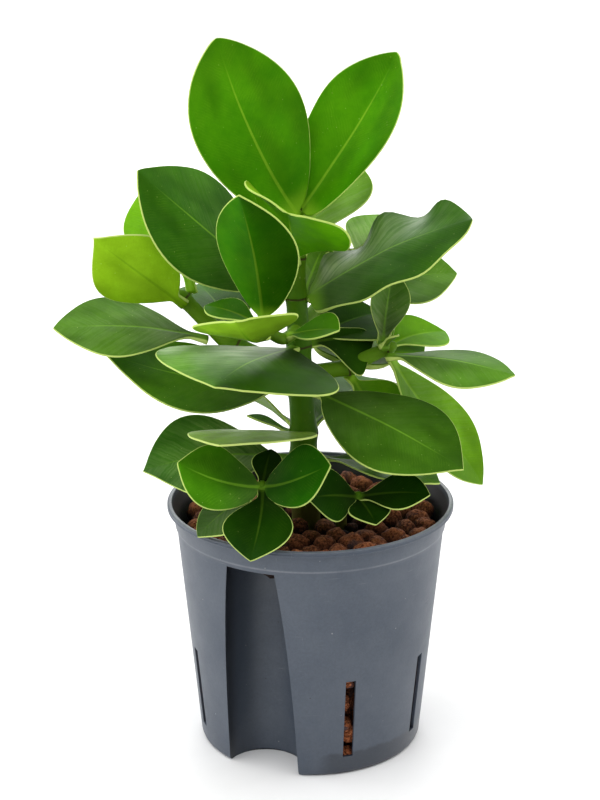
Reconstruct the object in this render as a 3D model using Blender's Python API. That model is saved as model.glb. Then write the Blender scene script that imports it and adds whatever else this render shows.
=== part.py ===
"""An autograph tree growing in clay pebbles in a round hydroculture pot.

The pot is a turned shell with a lip, slots and a recess for a water gauge. The pebbles fill it to
just under the lip. One stem with four side shoots stands in them, with a small leafy shoot left and
right of it at the front rim. Every leaf is one solid, grown from the same outline and seated
0.3 mm from the stem. The camera side of the plant is -Y, and the pot stands on z = 0.
"""

from math import cos, hypot, pi, radians, sin, sqrt
import random

import bmesh
import bpy
import numpy as np
from mathutils import Matrix

MM = 0.001
SEAT = 0.3                      # gap between neighbouring pieces, mm

# Pot, mm
LIP_RADIUS = 65.0
LIP_INNER = 63.0
LIP_DEPTH = 2.6
LIP_SLOPE = 0.4                 # the lip's underside rises this much outward
LIP_SEAM = 2.4                  # width of the lip's underside
LIP_ROUND = 0.6                 # bevel of its top edge
LIP_THROAT = 1.5                # the inner wall ends this far under the top, in a small chamfer
LIP_CHAMFER = 0.5
POT_HEIGHT = 114.0
BAND_BOTTOM = 102.5             # the band under the lip ends here in a small step
BAND_STEP = 0.8
BAND_RADIUS = 61.4
WALL_TOP_RADIUS = 60.7
BASE_RADIUS = 50.7
BASE_ROUND = 2.2
WALL = 1.6
FLOOR = 2.4
POT_SIDES = 48

# Recess for the water gauge: an upright round groove, open at the bottom and at the side
GROOVE_RADIUS = 17.2
GROOVE_CENTRE = 46.6            # from the pot's axis
GROOVE_ANGLE = -26.0            # degrees from the camera side, + to the right
GROOVE_TOP = 101.0
GROOVE_SIDES = 28
PAST = 5.0                      # how far a cutter runs past a face

# Slots in the wall
SLOT_WIDTH = 4.6
SLOT_BOTTOM = 9.0
SLOT_TOP = 47.5
SLOT_CUT = 9.0                  # depth of the box that cuts one
SLOT_COUNT = 7                  # with the groove, eight places round the wall
SLOT_STEP = 45.0
DRAIN_RADIUS = 2.5
DRAIN_CIRCLE = 26.0
DRAIN_COUNT = 4
DRAIN_FIRST = 64.0              # degrees from the camera side
DRAIN_STEP = 60.0
ROUND_SIDES = 14                # sides of the small round cutters

# Pebbles
PEBBLE_LEVEL = 103.0            # plain top of the fill, with the pebbles standing out of it
PEBBLE_RADIUS = 7.0
PEBBLE_SIZES = (0.88, 1.08)     # smallest and largest share of that radius
PEBBLE_PITCH = 12.2
ROW_PITCH = 0.87                # rows lie this share of the pitch apart
PEBBLE_SHAKE = 0.7              # each one is off its place by up to this
PEBBLE_DROP = (-1.4, 0.8)       # and its middle off the level
PEBBLE_HEIGHT = 0.92            # height of a pebble's top over its middle, as a share of its radius
PEBBLE_SIDES = 6
PEBBLE_BANDS = (-35, 36)        # degrees of latitude of its two rings of corners
STEM_FOOT = 62.0                # the stem reaches down to here in its hole
SHOOT_FOOT = 84.0
SHOOT_RADIUS = 2.6
SHOOT_TIP_RADIUS = 2.2
SHOOT_BEND = 112.0              # a small shoot stands upright up to here
LEAF_SINK = 1.5                 # its leaves start this far inside it
SHOOT_SIDES = 8
STEM_SIDES = 12
BUD = (3.0, 5.0)                # a run goes on past its last joint in a bud, by these lengths
CROWN_BUD = (0.8, 1.5)          # the top pair of leaves hides a flatter one
BUD_SHARES = (0.9, 0.45)        # and with these shares of the radius

# Joints of the stem, mm: where each pair of leaves or side shoot grows
JOINTS = {
    "foot": (-2.0, 0.0, STEM_FOOT),
    "bed": (-2.0, 0.0, 98.0),
    "soil": (-2.0, 0.0, 112.0),
    "low": (-3.0, 0.0, 134.0),
    "ring": (-3.0, 0.0, 146.0),
    "fork": (-4.0, 0.0, 166.0),
    "middle": (-5.0, 0.0, 187.0),
    "upper": (-6.0, 0.0, 209.0),
    "neck": (-6.0, 0.0, 227.0),
    "crown": (-5.0, 0.0, 249.0),
    "fork_axil": (-4.0, 0.0, 173.5),
    "middle_axil": (-5.0, 0.0, 194.5),
    "left_bend": (-33.0, 2.0, 186.0),
    "left_knee": (-43.0, 3.0, 194.0),
    "left_tip": (-56.0, 4.0, 207.0),
    "right_bend": (17.0, 2.0, 176.0),
    "right_low": (21.5, 2.5, 178.3),
    "right_knee": (26.0, 3.0, 180.5),
    "right_tip": (34.0, 4.0, 184.0),
    "front_bend": (-12.0, -22.0, 196.5),
    "front_tip": (-20.0, -46.0, 208.5),
    "back_bend": (6.0, 24.0, 202.0),
    "back_tip": (14.0, 44.0, 214.0),
}

# Each run of the stem: its joints from the root up, and its radius at each, mm
RUNS = {
    "main": (("foot", 6.6), ("bed", 6.6), ("soil", 6.6), ("low", 6.3), ("ring", 6.0), ("fork", 5.8),
             ("middle", 5.2), ("upper", 4.6), ("neck", 3.9), ("crown", 2.4)),
    "left": (("fork_axil", 4.2), ("left_bend", 4.1), ("left_knee", 3.8), ("left_tip", 3.3)),
    "right": (("fork_axil", 3.8), ("right_bend", 3.6), ("right_low", 3.5), ("right_knee", 3.3),
              ("right_tip", 2.9)),
    "front": (("middle_axil", 3.0), ("front_bend", 2.7), ("front_tip", 2.4)),
    "back": (("middle_axil", 3.2), ("back_bend", 3.0), ("back_tip", 2.6)),
}

# Colours: (red, green, blue), roughness
FINISHES = {
    "pot": ((0.105, 0.135, 0.185), 0.45),
    "pebbles": ((0.190, 0.060, 0.028), 0.95),
    "stem": ((0.115, 0.215, 0.020), 0.55),
    "leaf": ((0.030, 0.140, 0.010), 0.35),
    "young": ((0.080, 0.270, 0.008), 0.40),
    "pale": ((0.190, 0.330, 0.025), 0.45),
}

# Leaves, mm and degrees. Heading 0 points to +X and 90 to the back; rise is up from level; both are
# of the straight line from the leaf's foot to its tip. roll turns the face about that line. leave
# and end are the rise at the foot and at the tip. fold lifts the halves about the midrib, fold_left
# the left one alone. full rounds the foot, blunt the tip, and peak moves the widest place.
LEAF_DEFAULTS = {
    "roll": 0.0, "leave": None, "end": None, "swing": 0.0, "fold": 8.0, "fold_left": None,
    "wave": 0.0, "wave_right": 0.0, "waves": 2.0, "phase": 0.0, "stalk": 0.08, "full": 1.0,
    "blunt": 0.9, "peak": 1.25, "skew": 0.0, "finish": "leaf",
}

LEAVES = {
    "leaf_top_left": ("crown", -167, 68, 81, 57, {
        "roll": 72, "leave": 57, "end": 75, "fold": 6, "full": 0.5, "blunt": 0.68, "stalk": 0.0,
        "skew": 0.08, "peak": 1.15, "finish": "young"}),
    "leaf_top_right": ("crown", 8, 61, 77, 44, {
        "roll": -48, "leave": 57, "end": 68, "fold": 26, "full": 0.5, "blunt": 0.75, "stalk": 0.0,
        "skew": 0.04, "finish": "young"}),
    "leaf_neck_back": ("neck", 66, 36, 60, 43, {"roll": -10}),
    "leaf_neck_front": ("neck", -93, 33, 62, 54, {
        "roll": 30, "fold": 12, "fold_left": 16, "full": 0.7, "finish": "pale"}),
    "leaf_upper_left": ("upper", -170, 44, 86, 59, {
        "roll": 40, "leave": 49, "end": 46, "fold": -8, "full": 0.65, "blunt": 0.85, "peak": 1.1,
        "skew": 0.1}),
    "leaf_upper_right": ("upper", -9, 28, 80, 55, {
        "roll": -14, "fold": -10, "fold_left": 2, "wave": 4.5, "wave_right": 1.0, "waves": 2.7,
        "phase": -0.2, "full": 0.5, "blunt": 0.6, "peak": 1.15}),
    "leaf_middle_front": ("middle", -112, 5, 85, 82, {
        "roll": 3, "leave": 10, "fold": -1, "fold_left": -8, "full": 0.5}),
    "leaf_middle_back": ("middle", 44, 5, 46, 43, {"roll": -20, "full": 0.7}),
    "leaf_fork_left": ("fork", -175, 14, 84, 50, {
        "roll": 20, "leave": 8, "end": 24, "fold": 0, "full": 0.8, "blunt": 1.15, "peak": 0.95}),
    "leaf_fork_right": ("fork", -36, -14, 82, 51, {
        "roll": -18, "leave": -8, "end": -20, "fold": -6, "full": 0.5, "blunt": 1.0,
        "peak": 1.1, "skew": -0.02}),
    "leaf_ring_front": ("ring", -115, 15, 78, 58, {"roll": -6, "leave": 30, "end": 8, "fold": 0}),
    "leaf_ring_back": ("ring", 62, 4, 66, 48, {}),
    "leaf_ring_small": ("ring", 176, 22, 20, 9, {}),
    "leaf_ring_left": ("ring", 124, 6, 38, 26, {"roll": -44}),
    "leaf_low_left": ("low", -168, -1, 66, 51, {
        "roll": 27, "leave": 14, "end": -18, "full": 0.8, "blunt": 1.1, "skew": -0.06}),
    "leaf_low_right": ("low", -17, -6, 57, 44, {}),
    "leaf_left_pale": ("left_tip", -154, 40, 53, 40, {
        "roll": -60, "leave": 40, "end": 42, "skew": 0.1, "full": 0.7, "blunt": 1.15, "peak": 0.92,
        "finish": "pale"}),
    "leaf_left_upright": ("left_tip", 116, 48, 60, 46, {"roll": 40, "finish": "young"}),
    "leaf_left_out": ("left_knee", -170, 7, 67, 48, {
        "roll": 17, "leave": 20, "end": -2, "fold": 0, "full": 0.8}),
    "leaf_left_back": ("left_bend", 112, 12, 56, 40, {}),
    "leaf_right_upright": ("right_tip", 12, 82, 33, 21, {
        "roll": -90, "leave": 84, "end": 78, "fold": 30, "full": 0.7, "stalk": 0.02}),
    "leaf_right_out": ("right_tip", -19, -3, 57, 38, {
        "roll": -8, "leave": 9, "end": -12, "fold": -10, "full": 0.65}),
    "leaf_right_young_big": ("right_tip", 46, -2, 41, 27, {"roll": -20, "finish": "young"}),
    "leaf_right_young_small": ("right_knee", 36, 0, 32, 22, {"roll": -20, "finish": "young"}),
    "leaf_right_bud": ("right_tip", -50, 35, 11, 6, {}),
    "leaf_right_back": ("right_bend", 80, -3, 60, 54, {"roll": -12, "leave": 2}),
    "leaf_right_under": ("right_bend", 30, -62, 36, 36, {"roll": -75}),
    "leaf_right_drooping": ("right_tip", 22, -55, 84, 32, {
        "roll": -60, "leave": -62, "end": -60, "full": 0.5}),
    "leaf_front_round": ("front_tip", -113, 68, 63, 37, {
        "full": 0.5, "peak": 1.05, "skew": -0.04, "stalk": 0.03}),
    "leaf_front_flat": ("front_tip", -103, 24, 50, 46, {
        "roll": -11, "leave": 6, "end": 40, "fold": 16}),
    "leaf_front_small_left": ("front_tip", 145, 7, 28, 18, {"roll": 12, "full": 0.7}),
    "leaf_front_small_right": ("front_bend", -30, 14, 25, 22, {"roll": -18, "fold": 10, "full": 0.6}),
    "leaf_back_shoot_right": ("back_bend", 11, 8, 58, 47, {"roll": -23}),
    "leaf_back_shoot_left": ("back_bend", 165, 12, 58, 44, {}),
    "leaf_back_shoot_high": ("back_tip", 56, 16, 46, 38, {}),
    "leaf_back_shoot_back": ("back_tip", 140, 30, 56, 40, {}),
}

# The two small shoots at the front rim: where they stand, where their leaves meet, and the leaves
ROSETTES = {
    "rosette_left": ((-14.0, -12.0), (-21.0, -36.0, 133.0), (
        (-162, 22, 42, 30, {"roll": 55, "leave": 5, "end": 35, "full": 0.35}),
        (-28, 25, 38, 30, {"roll": -50, "leave": 10, "end": 30, "full": 0.35}),
        (-97, -30, 41, 31, {"swing": 12, "full": 0.8, "stalk": 0.14}),
        (-157, -31, 36, 25, {"roll": 15, "skew": -0.2}),
        (76, 38, 20, 14, {}))),
    "rosette_right": ((14.0, -4.0), (21.0, -36.0, 128.0), (
        (-150, 10, 26, 26, {"roll": 50, "full": 0.6}),
        (-18, 9, 33, 20, {"roll": -35, "full": 0.8}),
        (-88, 1, 28, 20, {}))),
}

LEAF_ROWS = 9
SMALL_LEAF_ROWS = 6
LEAF_COLUMNS = (-1.0, -0.55, 0.0, 0.55, 1.0)
BLADE = 1.0                     # thickness of a blade
STALK_HALF = 2.6                # half width of a stalk at its foot
STALK_DEPTH = 3.0               # its thickness there


def aim(heading, rise):
    """Unit vector for a heading and a rise in degrees."""
    turn, lift = radians(heading), radians(rise)
    return np.array([cos(turn) * cos(lift), sin(turn) * cos(lift), sin(lift)])


def unit(vector):
    return vector / np.linalg.norm(vector)


class Leaf:
    """A leaf's midrib, outline and curved face, in mm."""

    def __init__(self, joint, along, radius, heading, rise, length, width, options):
        for key, value in {**LEAF_DEFAULTS, **options}.items():
            setattr(self, key, value)
        if self.leave is None:
            self.leave = rise + 12
        if self.end is None:
            self.end = rise - 12
        if self.fold_left is None:
            self.fold_left = self.fold
        self.width = width
        self.start = length * aim(heading + self.swing, self.leave)
        self.finish_way = length * aim(heading - self.swing, self.end)
        out = unit(self.start - along * np.dot(self.start, along))
        way, side, face = self.axes(0.0, self.start)
        reach = abs(STALK_HALF * np.dot(side, out)) + abs(STALK_DEPTH / 2 * np.dot(face, out))
        self.foot = joint + out * (radius + SEAT + reach)
        self.tip = self.foot + length * aim(heading, rise)

    def axes(self, u, slope):
        """Directions along, across and out of the blade at u, 0 at the foot and 1 at the tip."""
        way = unit(slope)
        level = unit(np.cross(way, (0.0, 0.0, 1.0)))
        upper = np.cross(level, way)
        turn = radians(self.roll)
        return way, level * cos(turn) + upper * sin(turn), upper * cos(turn) - level * sin(turn)

    def midrib(self, u):
        """Point and slope of the midrib, a smooth curve from foot to tip."""
        point = ((2 * u**3 - 3 * u**2 + 1) * self.foot + (u**3 - 2 * u**2 + u) * self.start
                 + (3 * u**2 - 2 * u**3) * self.tip + (u**3 - u**2) * self.finish_way)
        slope = ((6 * u**2 - 6 * u) * self.foot + (3 * u**2 - 4 * u + 1) * self.start
                 + (6 * u - 6 * u**2) * self.tip + (3 * u**2 - 2 * u) * self.finish_way)
        return point, slope

    def spread(self, u):
        """How wide the blade is at u, as a share of its full width."""
        q = (u - self.stalk) / (1 - self.stalk)
        if q <= 0:
            return 0.0
        power = 1.1 * self.full * (1 - q) + self.blunt * q
        return max(0.0, sin(pi * min(1.0, q**self.peak)))**power

    def point(self, u, v):
        """Middle of the blade's thickness at u along and v across (-1 left, 1 right), and its face."""
        middle, slope = self.midrib(u)
        way, side, face = self.axes(u, slope)
        share = self.spread(u)
        half = max(0.6, hypot(STALK_HALF * (1 - u), self.width / 2 * share))
        sign = 1.0 if v > 0 else -1.0
        half *= 1 + sign * self.skew * share
        lift = radians(self.fold if v > 0 else self.fold_left) * min(1.0, 4 * share)
        ripple = self.wave_right if v > 0 else self.wave
        height = abs(v) * half * sin(lift)
        height += ripple * abs(v)**1.5 * sqrt(share) * sin(2 * pi * self.waves * u + pi * self.phase)
        return middle + side * sign * abs(v) * half * cos(lift) + face * height, face

    def thickness(self, u, v):
        """Blade thickness, thicker along the midrib and in the stalk."""
        stalk = max(0.0, 1 - u / 0.2)
        return BLADE + (STALK_DEPTH - BLADE) * stalk**1.5 + 0.5 * (v == 0) * (1 - u) * (1 - stalk)


def stem_at(joint):
    """Direction and radius of the stem at a joint, from the run that passes through or ends there."""
    for name, run in RUNS.items():
        names = [each for each, _ in run]
        if joint in names[1:]:
            k = names.index(joint)
            before = np.array(JOINTS[names[k - 1]])
            after = np.array(JOINTS[names[min(k + 1, len(names) - 1)]])
            return unit(after - before), run[k][1]
    raise KeyError(joint)


def leaf_mesh(leaf, mesh, count):
    """Add a leaf to a bmesh as one closed solid, split alike on both faces."""
    rows = []
    for i in range(count + 1):
        u = i / count
        upper, lower = [], []
        for v in LEAF_COLUMNS:
            middle, face = leaf.point(u, v)
            half = leaf.thickness(u, v) / 2
            upper.append(mesh.verts.new((middle + face * half) * MM))
            lower.append(mesh.verts.new((middle - face * half) * MM))
        rows.append((upper, lower))
    last = len(LEAF_COLUMNS) - 1
    for (top, low), (top_next, low_next) in zip(rows, rows[1:]):
        for j in range(last):
            mesh.faces.new((top[j], top_next[j + 1], top_next[j]))
            mesh.faces.new((top[j], top[j + 1], top_next[j + 1]))
            mesh.faces.new((low[j], low_next[j], low_next[j + 1]))
            mesh.faces.new((low[j], low_next[j + 1], low[j + 1]))
        mesh.faces.new((top[0], top_next[0], low_next[0], low[0]))
        mesh.faces.new((top[last], low[last], low_next[last], top_next[last]))
    for (top, low), turn in ((rows[0], 1), (rows[-1], -1)):
        for j in range(last):
            mesh.faces.new((top[j], low[j], low[j + 1], top[j + 1])[::turn])
    bmesh.ops.recalc_face_normals(mesh, faces=mesh.faces)


def finish_material(name):
    material = bpy.data.materials.get(name)
    if material is None:
        colour, roughness = FINISHES[name]
        material = bpy.data.materials.new(name)
        material.use_nodes = True
        shader = material.node_tree.nodes["Principled BSDF"]
        shader.inputs["Base Color"].default_value = (*colour, 1.0)
        shader.inputs["Roughness"].default_value = roughness
        shader.inputs["Metallic"].default_value = 0.0
    return material


def to_object(name, mesh, finish):
    """Make an object from a bmesh, shaded smooth except at sharp edges."""
    data = bpy.data.meshes.new(name)
    bmesh.ops.triangulate(mesh, faces=mesh.faces)
    mesh.to_mesh(data)
    mesh.free()
    data.materials.append(finish_material(finish))
    data.shade_smooth()
    data.set_sharp_from_angle(angle=radians(40))
    item = bpy.data.objects.new(name, data)
    bpy.context.scene.collection.objects.link(item)
    return item


def turned(name, profile, sides, finish):
    """Solid turned about the Z axis from (radius, height) points; a radius of 0 closes an end."""
    mesh = bmesh.new()
    rings = []
    for radius, height in profile:
        if radius == 0:
            rings.append([mesh.verts.new((0, 0, height * MM))] * sides)
            continue
        rings.append([mesh.verts.new((radius * cos(2 * pi * k / sides) * MM,
                                      radius * sin(2 * pi * k / sides) * MM, height * MM))
                      for k in range(sides)])
    for ring, after in zip(rings, rings[1:]):
        for k in range(sides):
            corners = (ring[k], ring[(k + 1) % sides], after[(k + 1) % sides], after[k])
            mesh.faces.new(list(dict.fromkeys(corners)))
    bmesh.ops.recalc_face_normals(mesh, faces=mesh.faces)
    return to_object(name, mesh, finish)


def cylinder(name, radius, bottom, top, place, sides):
    """Upright cylinder used as a cutter."""
    item = turned(name, ((0, bottom), (radius, bottom), (radius, top), (0, top)), sides, "pot")
    for vertex in item.data.vertices:
        vertex.co.x += place[0] * MM
        vertex.co.y += place[1] * MM
    return item


def boolean(item, other, operation, solver="EXACT"):
    """Apply a Boolean of item with an object or a list of objects, which are then removed."""
    others = other if isinstance(other, list) else [other]
    group = bpy.data.collections.new("operands")
    for each in others:
        group.objects.link(each)
    modifier = item.modifiers.new("Boolean", "BOOLEAN")
    modifier.operation = operation
    modifier.solver = solver
    modifier.operand_type = "COLLECTION"
    modifier.collection = group
    bpy.context.view_layer.update()
    evaluated = item.evaluated_get(bpy.context.evaluated_depsgraph_get())
    data = bpy.data.meshes.new_from_object(evaluated)
    item.modifiers.clear()
    item.data = data
    for each in others:
        bpy.data.objects.remove(each, do_unlink=True)
    bpy.data.collections.remove(group)


def around(angle, radius):
    """X and Y of a point at an angle in degrees from the camera side, + to the right."""
    return radius * sin(radians(angle)), -radius * cos(radians(angle))


def groove_cutter(extra, top):
    """Cutter for the gauge recess, wider by extra, from under the pot up to a height."""
    place = around(GROOVE_ANGLE, GROOVE_CENTRE)
    return cylinder("groove", GROOVE_RADIUS + extra, -PAST, top, place, GROOVE_SIDES)


def box(name, size, centre, angle):
    """Box turned about Z to face outward at an angle from the camera side, used as a cutter."""
    mesh = bmesh.new()
    bmesh.ops.create_cube(mesh, size=1.0)
    turn = radians(angle)
    for vertex in mesh.verts:
        x, y, z = vertex.co.x * size[0], vertex.co.y * size[1], vertex.co.z * size[2]
        vertex.co = ((x * cos(turn) - y * sin(turn) + centre[0]) * MM,
                     (x * sin(turn) + y * cos(turn) + centre[1]) * MM, (z + centre[2]) * MM)
    return to_object(name, mesh, "pot")


def wall_radius(height):
    """Outer radius of the tapered wall at a height."""
    return BASE_RADIUS + (WALL_TOP_RADIUS - BASE_RADIUS) * height / BAND_BOTTOM


def inner_radius(height):
    """Inner radius of the pot at a height: the tapered wall, then wider up to the lip."""
    if height <= BAND_BOTTOM:
        return wall_radius(height) - WALL
    share = (height - BAND_BOTTOM) / (POT_HEIGHT - LIP_THROAT - BAND_BOTTOM)
    return WALL_TOP_RADIUS - WALL + share * (LIP_INNER - LIP_CHAMFER - WALL_TOP_RADIUS + WALL)


def inner_profile(gap, bottom, top):
    """Inside of the pot from its floor up to a height, drawn in by a gap."""
    heights = [bottom, top] if top <= BAND_BOTTOM else [bottom, BAND_BOTTOM, top]
    return ((0, bottom), *((inner_radius(height) - gap, height) for height in heights))


def make_pot():
    lip_bottom = POT_HEIGHT - LIP_DEPTH
    outline = ((0, 0), (BASE_RADIUS - BASE_ROUND, 0),
               (wall_radius(BASE_ROUND), BASE_ROUND), (WALL_TOP_RADIUS, BAND_BOTTOM),
               (BAND_RADIUS, BAND_BOTTOM + BAND_STEP),
               (LIP_RADIUS - LIP_SEAM, lip_bottom - LIP_SLOPE), (LIP_RADIUS, lip_bottom + LIP_SLOPE),
               (LIP_RADIUS, POT_HEIGHT - LIP_ROUND), (LIP_RADIUS - LIP_ROUND, POT_HEIGHT),
               (LIP_INNER, POT_HEIGHT), (0, POT_HEIGHT))
    pot = turned("pot", outline, POT_SIDES, "pot")
    hollow = turned("hollow", (*inner_profile(0, FLOOR, POT_HEIGHT - LIP_THROAT),
                               (LIP_INNER, POT_HEIGHT), (LIP_INNER, POT_HEIGHT + PAST),
                               (0, POT_HEIGHT + PAST)), POT_SIDES, "pot")
    boolean(hollow, groove_cutter(WALL, GROOVE_TOP + WALL), "DIFFERENCE")
    boolean(pot, hollow, "DIFFERENCE")
    boolean(pot, groove_cutter(0, GROOVE_TOP), "DIFFERENCE")
    cutters = []
    middle = (SLOT_BOTTOM + SLOT_TOP) / 2
    size = (SLOT_WIDTH, SLOT_CUT, SLOT_TOP - SLOT_BOTTOM)
    for k in range(SLOT_COUNT):
        angle = GROOVE_ANGLE + SLOT_STEP * (k + 1)
        cutters.append(box("slot", size, (*around(angle, wall_radius(middle)), middle), angle))
    for k in range(DRAIN_COUNT):
        place = around(DRAIN_FIRST + DRAIN_STEP * k, DRAIN_CIRCLE)
        cutters.append(cylinder("drain", DRAIN_RADIUS, -PAST, FLOOR + PAST, place, ROUND_SIDES))
    boolean(pot, cutters, "DIFFERENCE")
    return pot


def stem_holes():
    """Centre, radius and foot of each hole that a stem stands in."""
    holes = [((JOINTS["foot"][0], JOINTS["foot"][1]), RUNS["main"][0][1], STEM_FOOT)]
    holes += [(place, SHOOT_RADIUS, SHOOT_FOOT) for place, _, _ in ROSETTES.values()]
    return holes


def pebble_places():
    """Centres of the top pebbles: shaken rows over the round top, clear of the stems' holes."""
    draw = random.Random(7)
    places = []
    rows = int(LIP_INNER / PEBBLE_PITCH) + 1
    for j in range(-rows, rows + 1):
        for i in range(-rows, rows + 1):
            x = (i + 0.5 * (j % 2)) * PEBBLE_PITCH + draw.uniform(-PEBBLE_SHAKE, PEBBLE_SHAKE)
            y = j * PEBBLE_PITCH * ROW_PITCH + draw.uniform(-PEBBLE_SHAKE, PEBBLE_SHAKE)
            radius = PEBBLE_RADIUS * draw.uniform(*PEBBLE_SIZES)
            level = PEBBLE_LEVEL + draw.uniform(*PEBBLE_DROP)
            turn = draw.uniform(0, 2 * pi)
            room = inner_radius(level) - SEAT - radius
            if hypot(x, y) > room + PEBBLE_PITCH / 2:
                continue
            if hypot(x, y) > room:
                x, y = x * room / hypot(x, y), y * room / hypot(x, y)
            if all(hypot(x - hole[0], y - hole[1]) > radius + hole_radius / 2
                   for hole, hole_radius, _ in stem_holes()):
                places.append((x, y, level, radius, turn))
    return places


def make_pebbles():
    fill = turned("pebbles", (*inner_profile(SEAT, FLOOR + SEAT, PEBBLE_LEVEL),
                              (0, PEBBLE_LEVEL)), POT_SIDES, "pebbles")
    lumps = []
    for x, y, level, radius, turn in pebble_places():
        height = radius * PEBBLE_HEIGHT
        rings = [(radius * cos(radians(angle)), level + height * sin(radians(angle)))
                 for angle in PEBBLE_BANDS]
        lump = turned("pebble", ((0, rings[0][1]), *rings, (0, level + height)), PEBBLE_SIDES, "pebbles")
        lump.data.transform(Matrix.Translation((x * MM, y * MM, 0)) @ Matrix.Rotation(turn, 4, "Z"))
        lumps.append(lump)
    boolean(fill, lumps, "UNION")
    cutters = [groove_cutter(WALL + SEAT, GROOVE_TOP + WALL + SEAT)]
    for place, radius, foot in stem_holes():
        cutters.append(cylinder("hole", radius + 2 * SEAT, foot - SEAT, POT_HEIGHT + PAST, place,
                                ROUND_SIDES))
    boolean(fill, cutters, "DIFFERENCE")
    return fill


def smooth_run(points, radii, steps):
    """Centres and radii along a smooth curve through the joints."""
    points = [np.array(point, float) for point in points]
    ends = [2 * points[0] - points[1], *points, 2 * points[-1] - points[-2]]
    line, sizes = [], []
    for k in range(len(points) - 1):
        before, a, b, after = ends[k:k + 4]
        for i in range(steps):
            t = i / steps
            line.append(0.5 * (2 * a + (b - before) * t + (2 * before - 5 * a + 4 * b - after) * t**2
                               + (3 * a - before - 3 * b + after) * t**3))
            sizes.append(radii[k] * (1 - t) + radii[k + 1] * t)
    return line + [points[-1]], sizes + [radii[-1]]


def tube(name, line, sizes, sides, finish):
    """Closed tube along a line, with a rounded end."""
    mesh = bmesh.new()
    rings = []
    for k, (centre, size) in enumerate(zip(line, sizes)):
        way = unit(line[min(k + 1, len(line) - 1)] - line[max(k - 1, 0)])
        across = unit(np.cross(way, (0.02, 1.0, 0.0)))
        other = np.cross(way, across)
        rings.append([mesh.verts.new((centre + size * (across * cos(2 * pi * i / sides)
                                                       + other * sin(2 * pi * i / sides))) * MM)
                      for i in range(sides)])
    for ring, after in zip(rings, rings[1:]):
        for i in range(sides):
            mesh.faces.new((ring[i], ring[(i + 1) % sides], after[(i + 1) % sides], after[i]))
    mesh.faces.new(rings[0])
    mesh.faces.new(rings[-1])
    bmesh.ops.recalc_face_normals(mesh, faces=mesh.faces)
    return to_object(name, mesh, finish)


def run_line(name):
    """Centres and radii of one run of the stem, with a bud past its last joint."""
    joints = [JOINTS[joint] for joint, _ in RUNS[name]]
    line, sizes = smooth_run(joints, [radius for _, radius in RUNS[name]], 2)
    way = unit(line[-1] - line[-2])
    bud = [line[-1] + way * length for length in (CROWN_BUD if name == "main" else BUD)]
    return line + bud, sizes + [sizes[-1] * share for share in BUD_SHARES]


def make_stem():
    """The main stem with its four side shoots, grown as one piece."""
    stem = tube("stem", *run_line("main"), STEM_SIDES, "stem")
    shoots = [tube(name, *run_line(name), SHOOT_SIDES, "stem") for name in RUNS if name != "main"]
    boolean(stem, shoots, "UNION")
    return stem


def make_leaf(name):
    joint, heading, rise, length, width, options = LEAVES[name]
    along, radius = stem_at(joint)
    leaf = Leaf(np.array(JOINTS[joint]), along, radius, heading, rise, length, width, options)
    mesh = bmesh.new()
    leaf_mesh(leaf, mesh, LEAF_ROWS if length > 50 else SMALL_LEAF_ROWS)
    return to_object(name, mesh, options.get("finish", "leaf"))


def make_rosette(name):
    """A small leafy shoot: its stem and leaves joined in one body."""
    place, top, leaves = ROSETTES[name]
    joint = np.array(top)
    upright = [(*place, height) for height in (SHOOT_FOOT, SHOOT_BEND - 10, SHOOT_BEND - 2, SHOOT_BEND)]
    radii = (SHOOT_RADIUS, SHOOT_RADIUS, SHOOT_RADIUS, SHOOT_RADIUS, SHOOT_TIP_RADIUS)
    line, sizes = smooth_run((*upright, top), radii, 2)
    line.append(joint + (0, 0, BUD[0]))
    sizes.append(SHOOT_TIP_RADIUS * BUD_SHARES[1])
    shoot = tube(name, line, sizes, SHOOT_SIDES, "leaf")
    parts = []
    for heading, rise, length, width, options in leaves:
        leaf = Leaf(joint, np.array((0.0, 0.0, 1.0)), -LEAF_SINK, heading, rise, length, width, options)
        mesh = bmesh.new()
        leaf_mesh(leaf, mesh, SMALL_LEAF_ROWS)
        parts.append(to_object("blade", mesh, "leaf"))
    boolean(shoot, parts, "UNION")
    return shoot


def main():
    for item in list(bpy.data.objects):
        bpy.data.objects.remove(item, do_unlink=True)
    make_pot()
    make_pebbles()
    make_stem()
    for name in LEAVES:
        make_leaf(name)
    for name in ROSETTES:
        make_rosette(name)


main()
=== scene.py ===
# %% [markdown]
# An autograph tree in a hydroculture pot, dressed for a photograph.
# The packed model gives the frame: where each stem, leaf, pebble and wall is. This lesson puts a finer
# piece over each of them, in the same place and at the same size, and gives it the finish of the real
# thing. Lengths are written in millimetres and become metres where a mesh is made.

import random
from contextlib import contextmanager
from math import cos, hypot, pi, radians, sin, tau

import bmesh
import bpy
import numpy as np
from mathutils import Matrix, Vector, noise


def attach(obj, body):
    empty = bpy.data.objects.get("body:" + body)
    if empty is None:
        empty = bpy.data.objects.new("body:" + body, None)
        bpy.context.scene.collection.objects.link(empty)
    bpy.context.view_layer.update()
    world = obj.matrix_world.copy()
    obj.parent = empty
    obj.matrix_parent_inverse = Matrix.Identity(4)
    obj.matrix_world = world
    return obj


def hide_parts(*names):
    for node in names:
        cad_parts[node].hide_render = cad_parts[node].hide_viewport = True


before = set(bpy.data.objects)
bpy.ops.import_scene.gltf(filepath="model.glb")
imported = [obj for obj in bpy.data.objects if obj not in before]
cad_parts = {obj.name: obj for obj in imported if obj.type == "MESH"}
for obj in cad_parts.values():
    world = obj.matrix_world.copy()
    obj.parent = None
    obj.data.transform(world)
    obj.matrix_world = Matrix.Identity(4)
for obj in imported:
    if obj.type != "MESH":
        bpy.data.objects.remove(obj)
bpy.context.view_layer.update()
MM = 0.001
BODY = "root"
scene = bpy.context.scene

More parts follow.
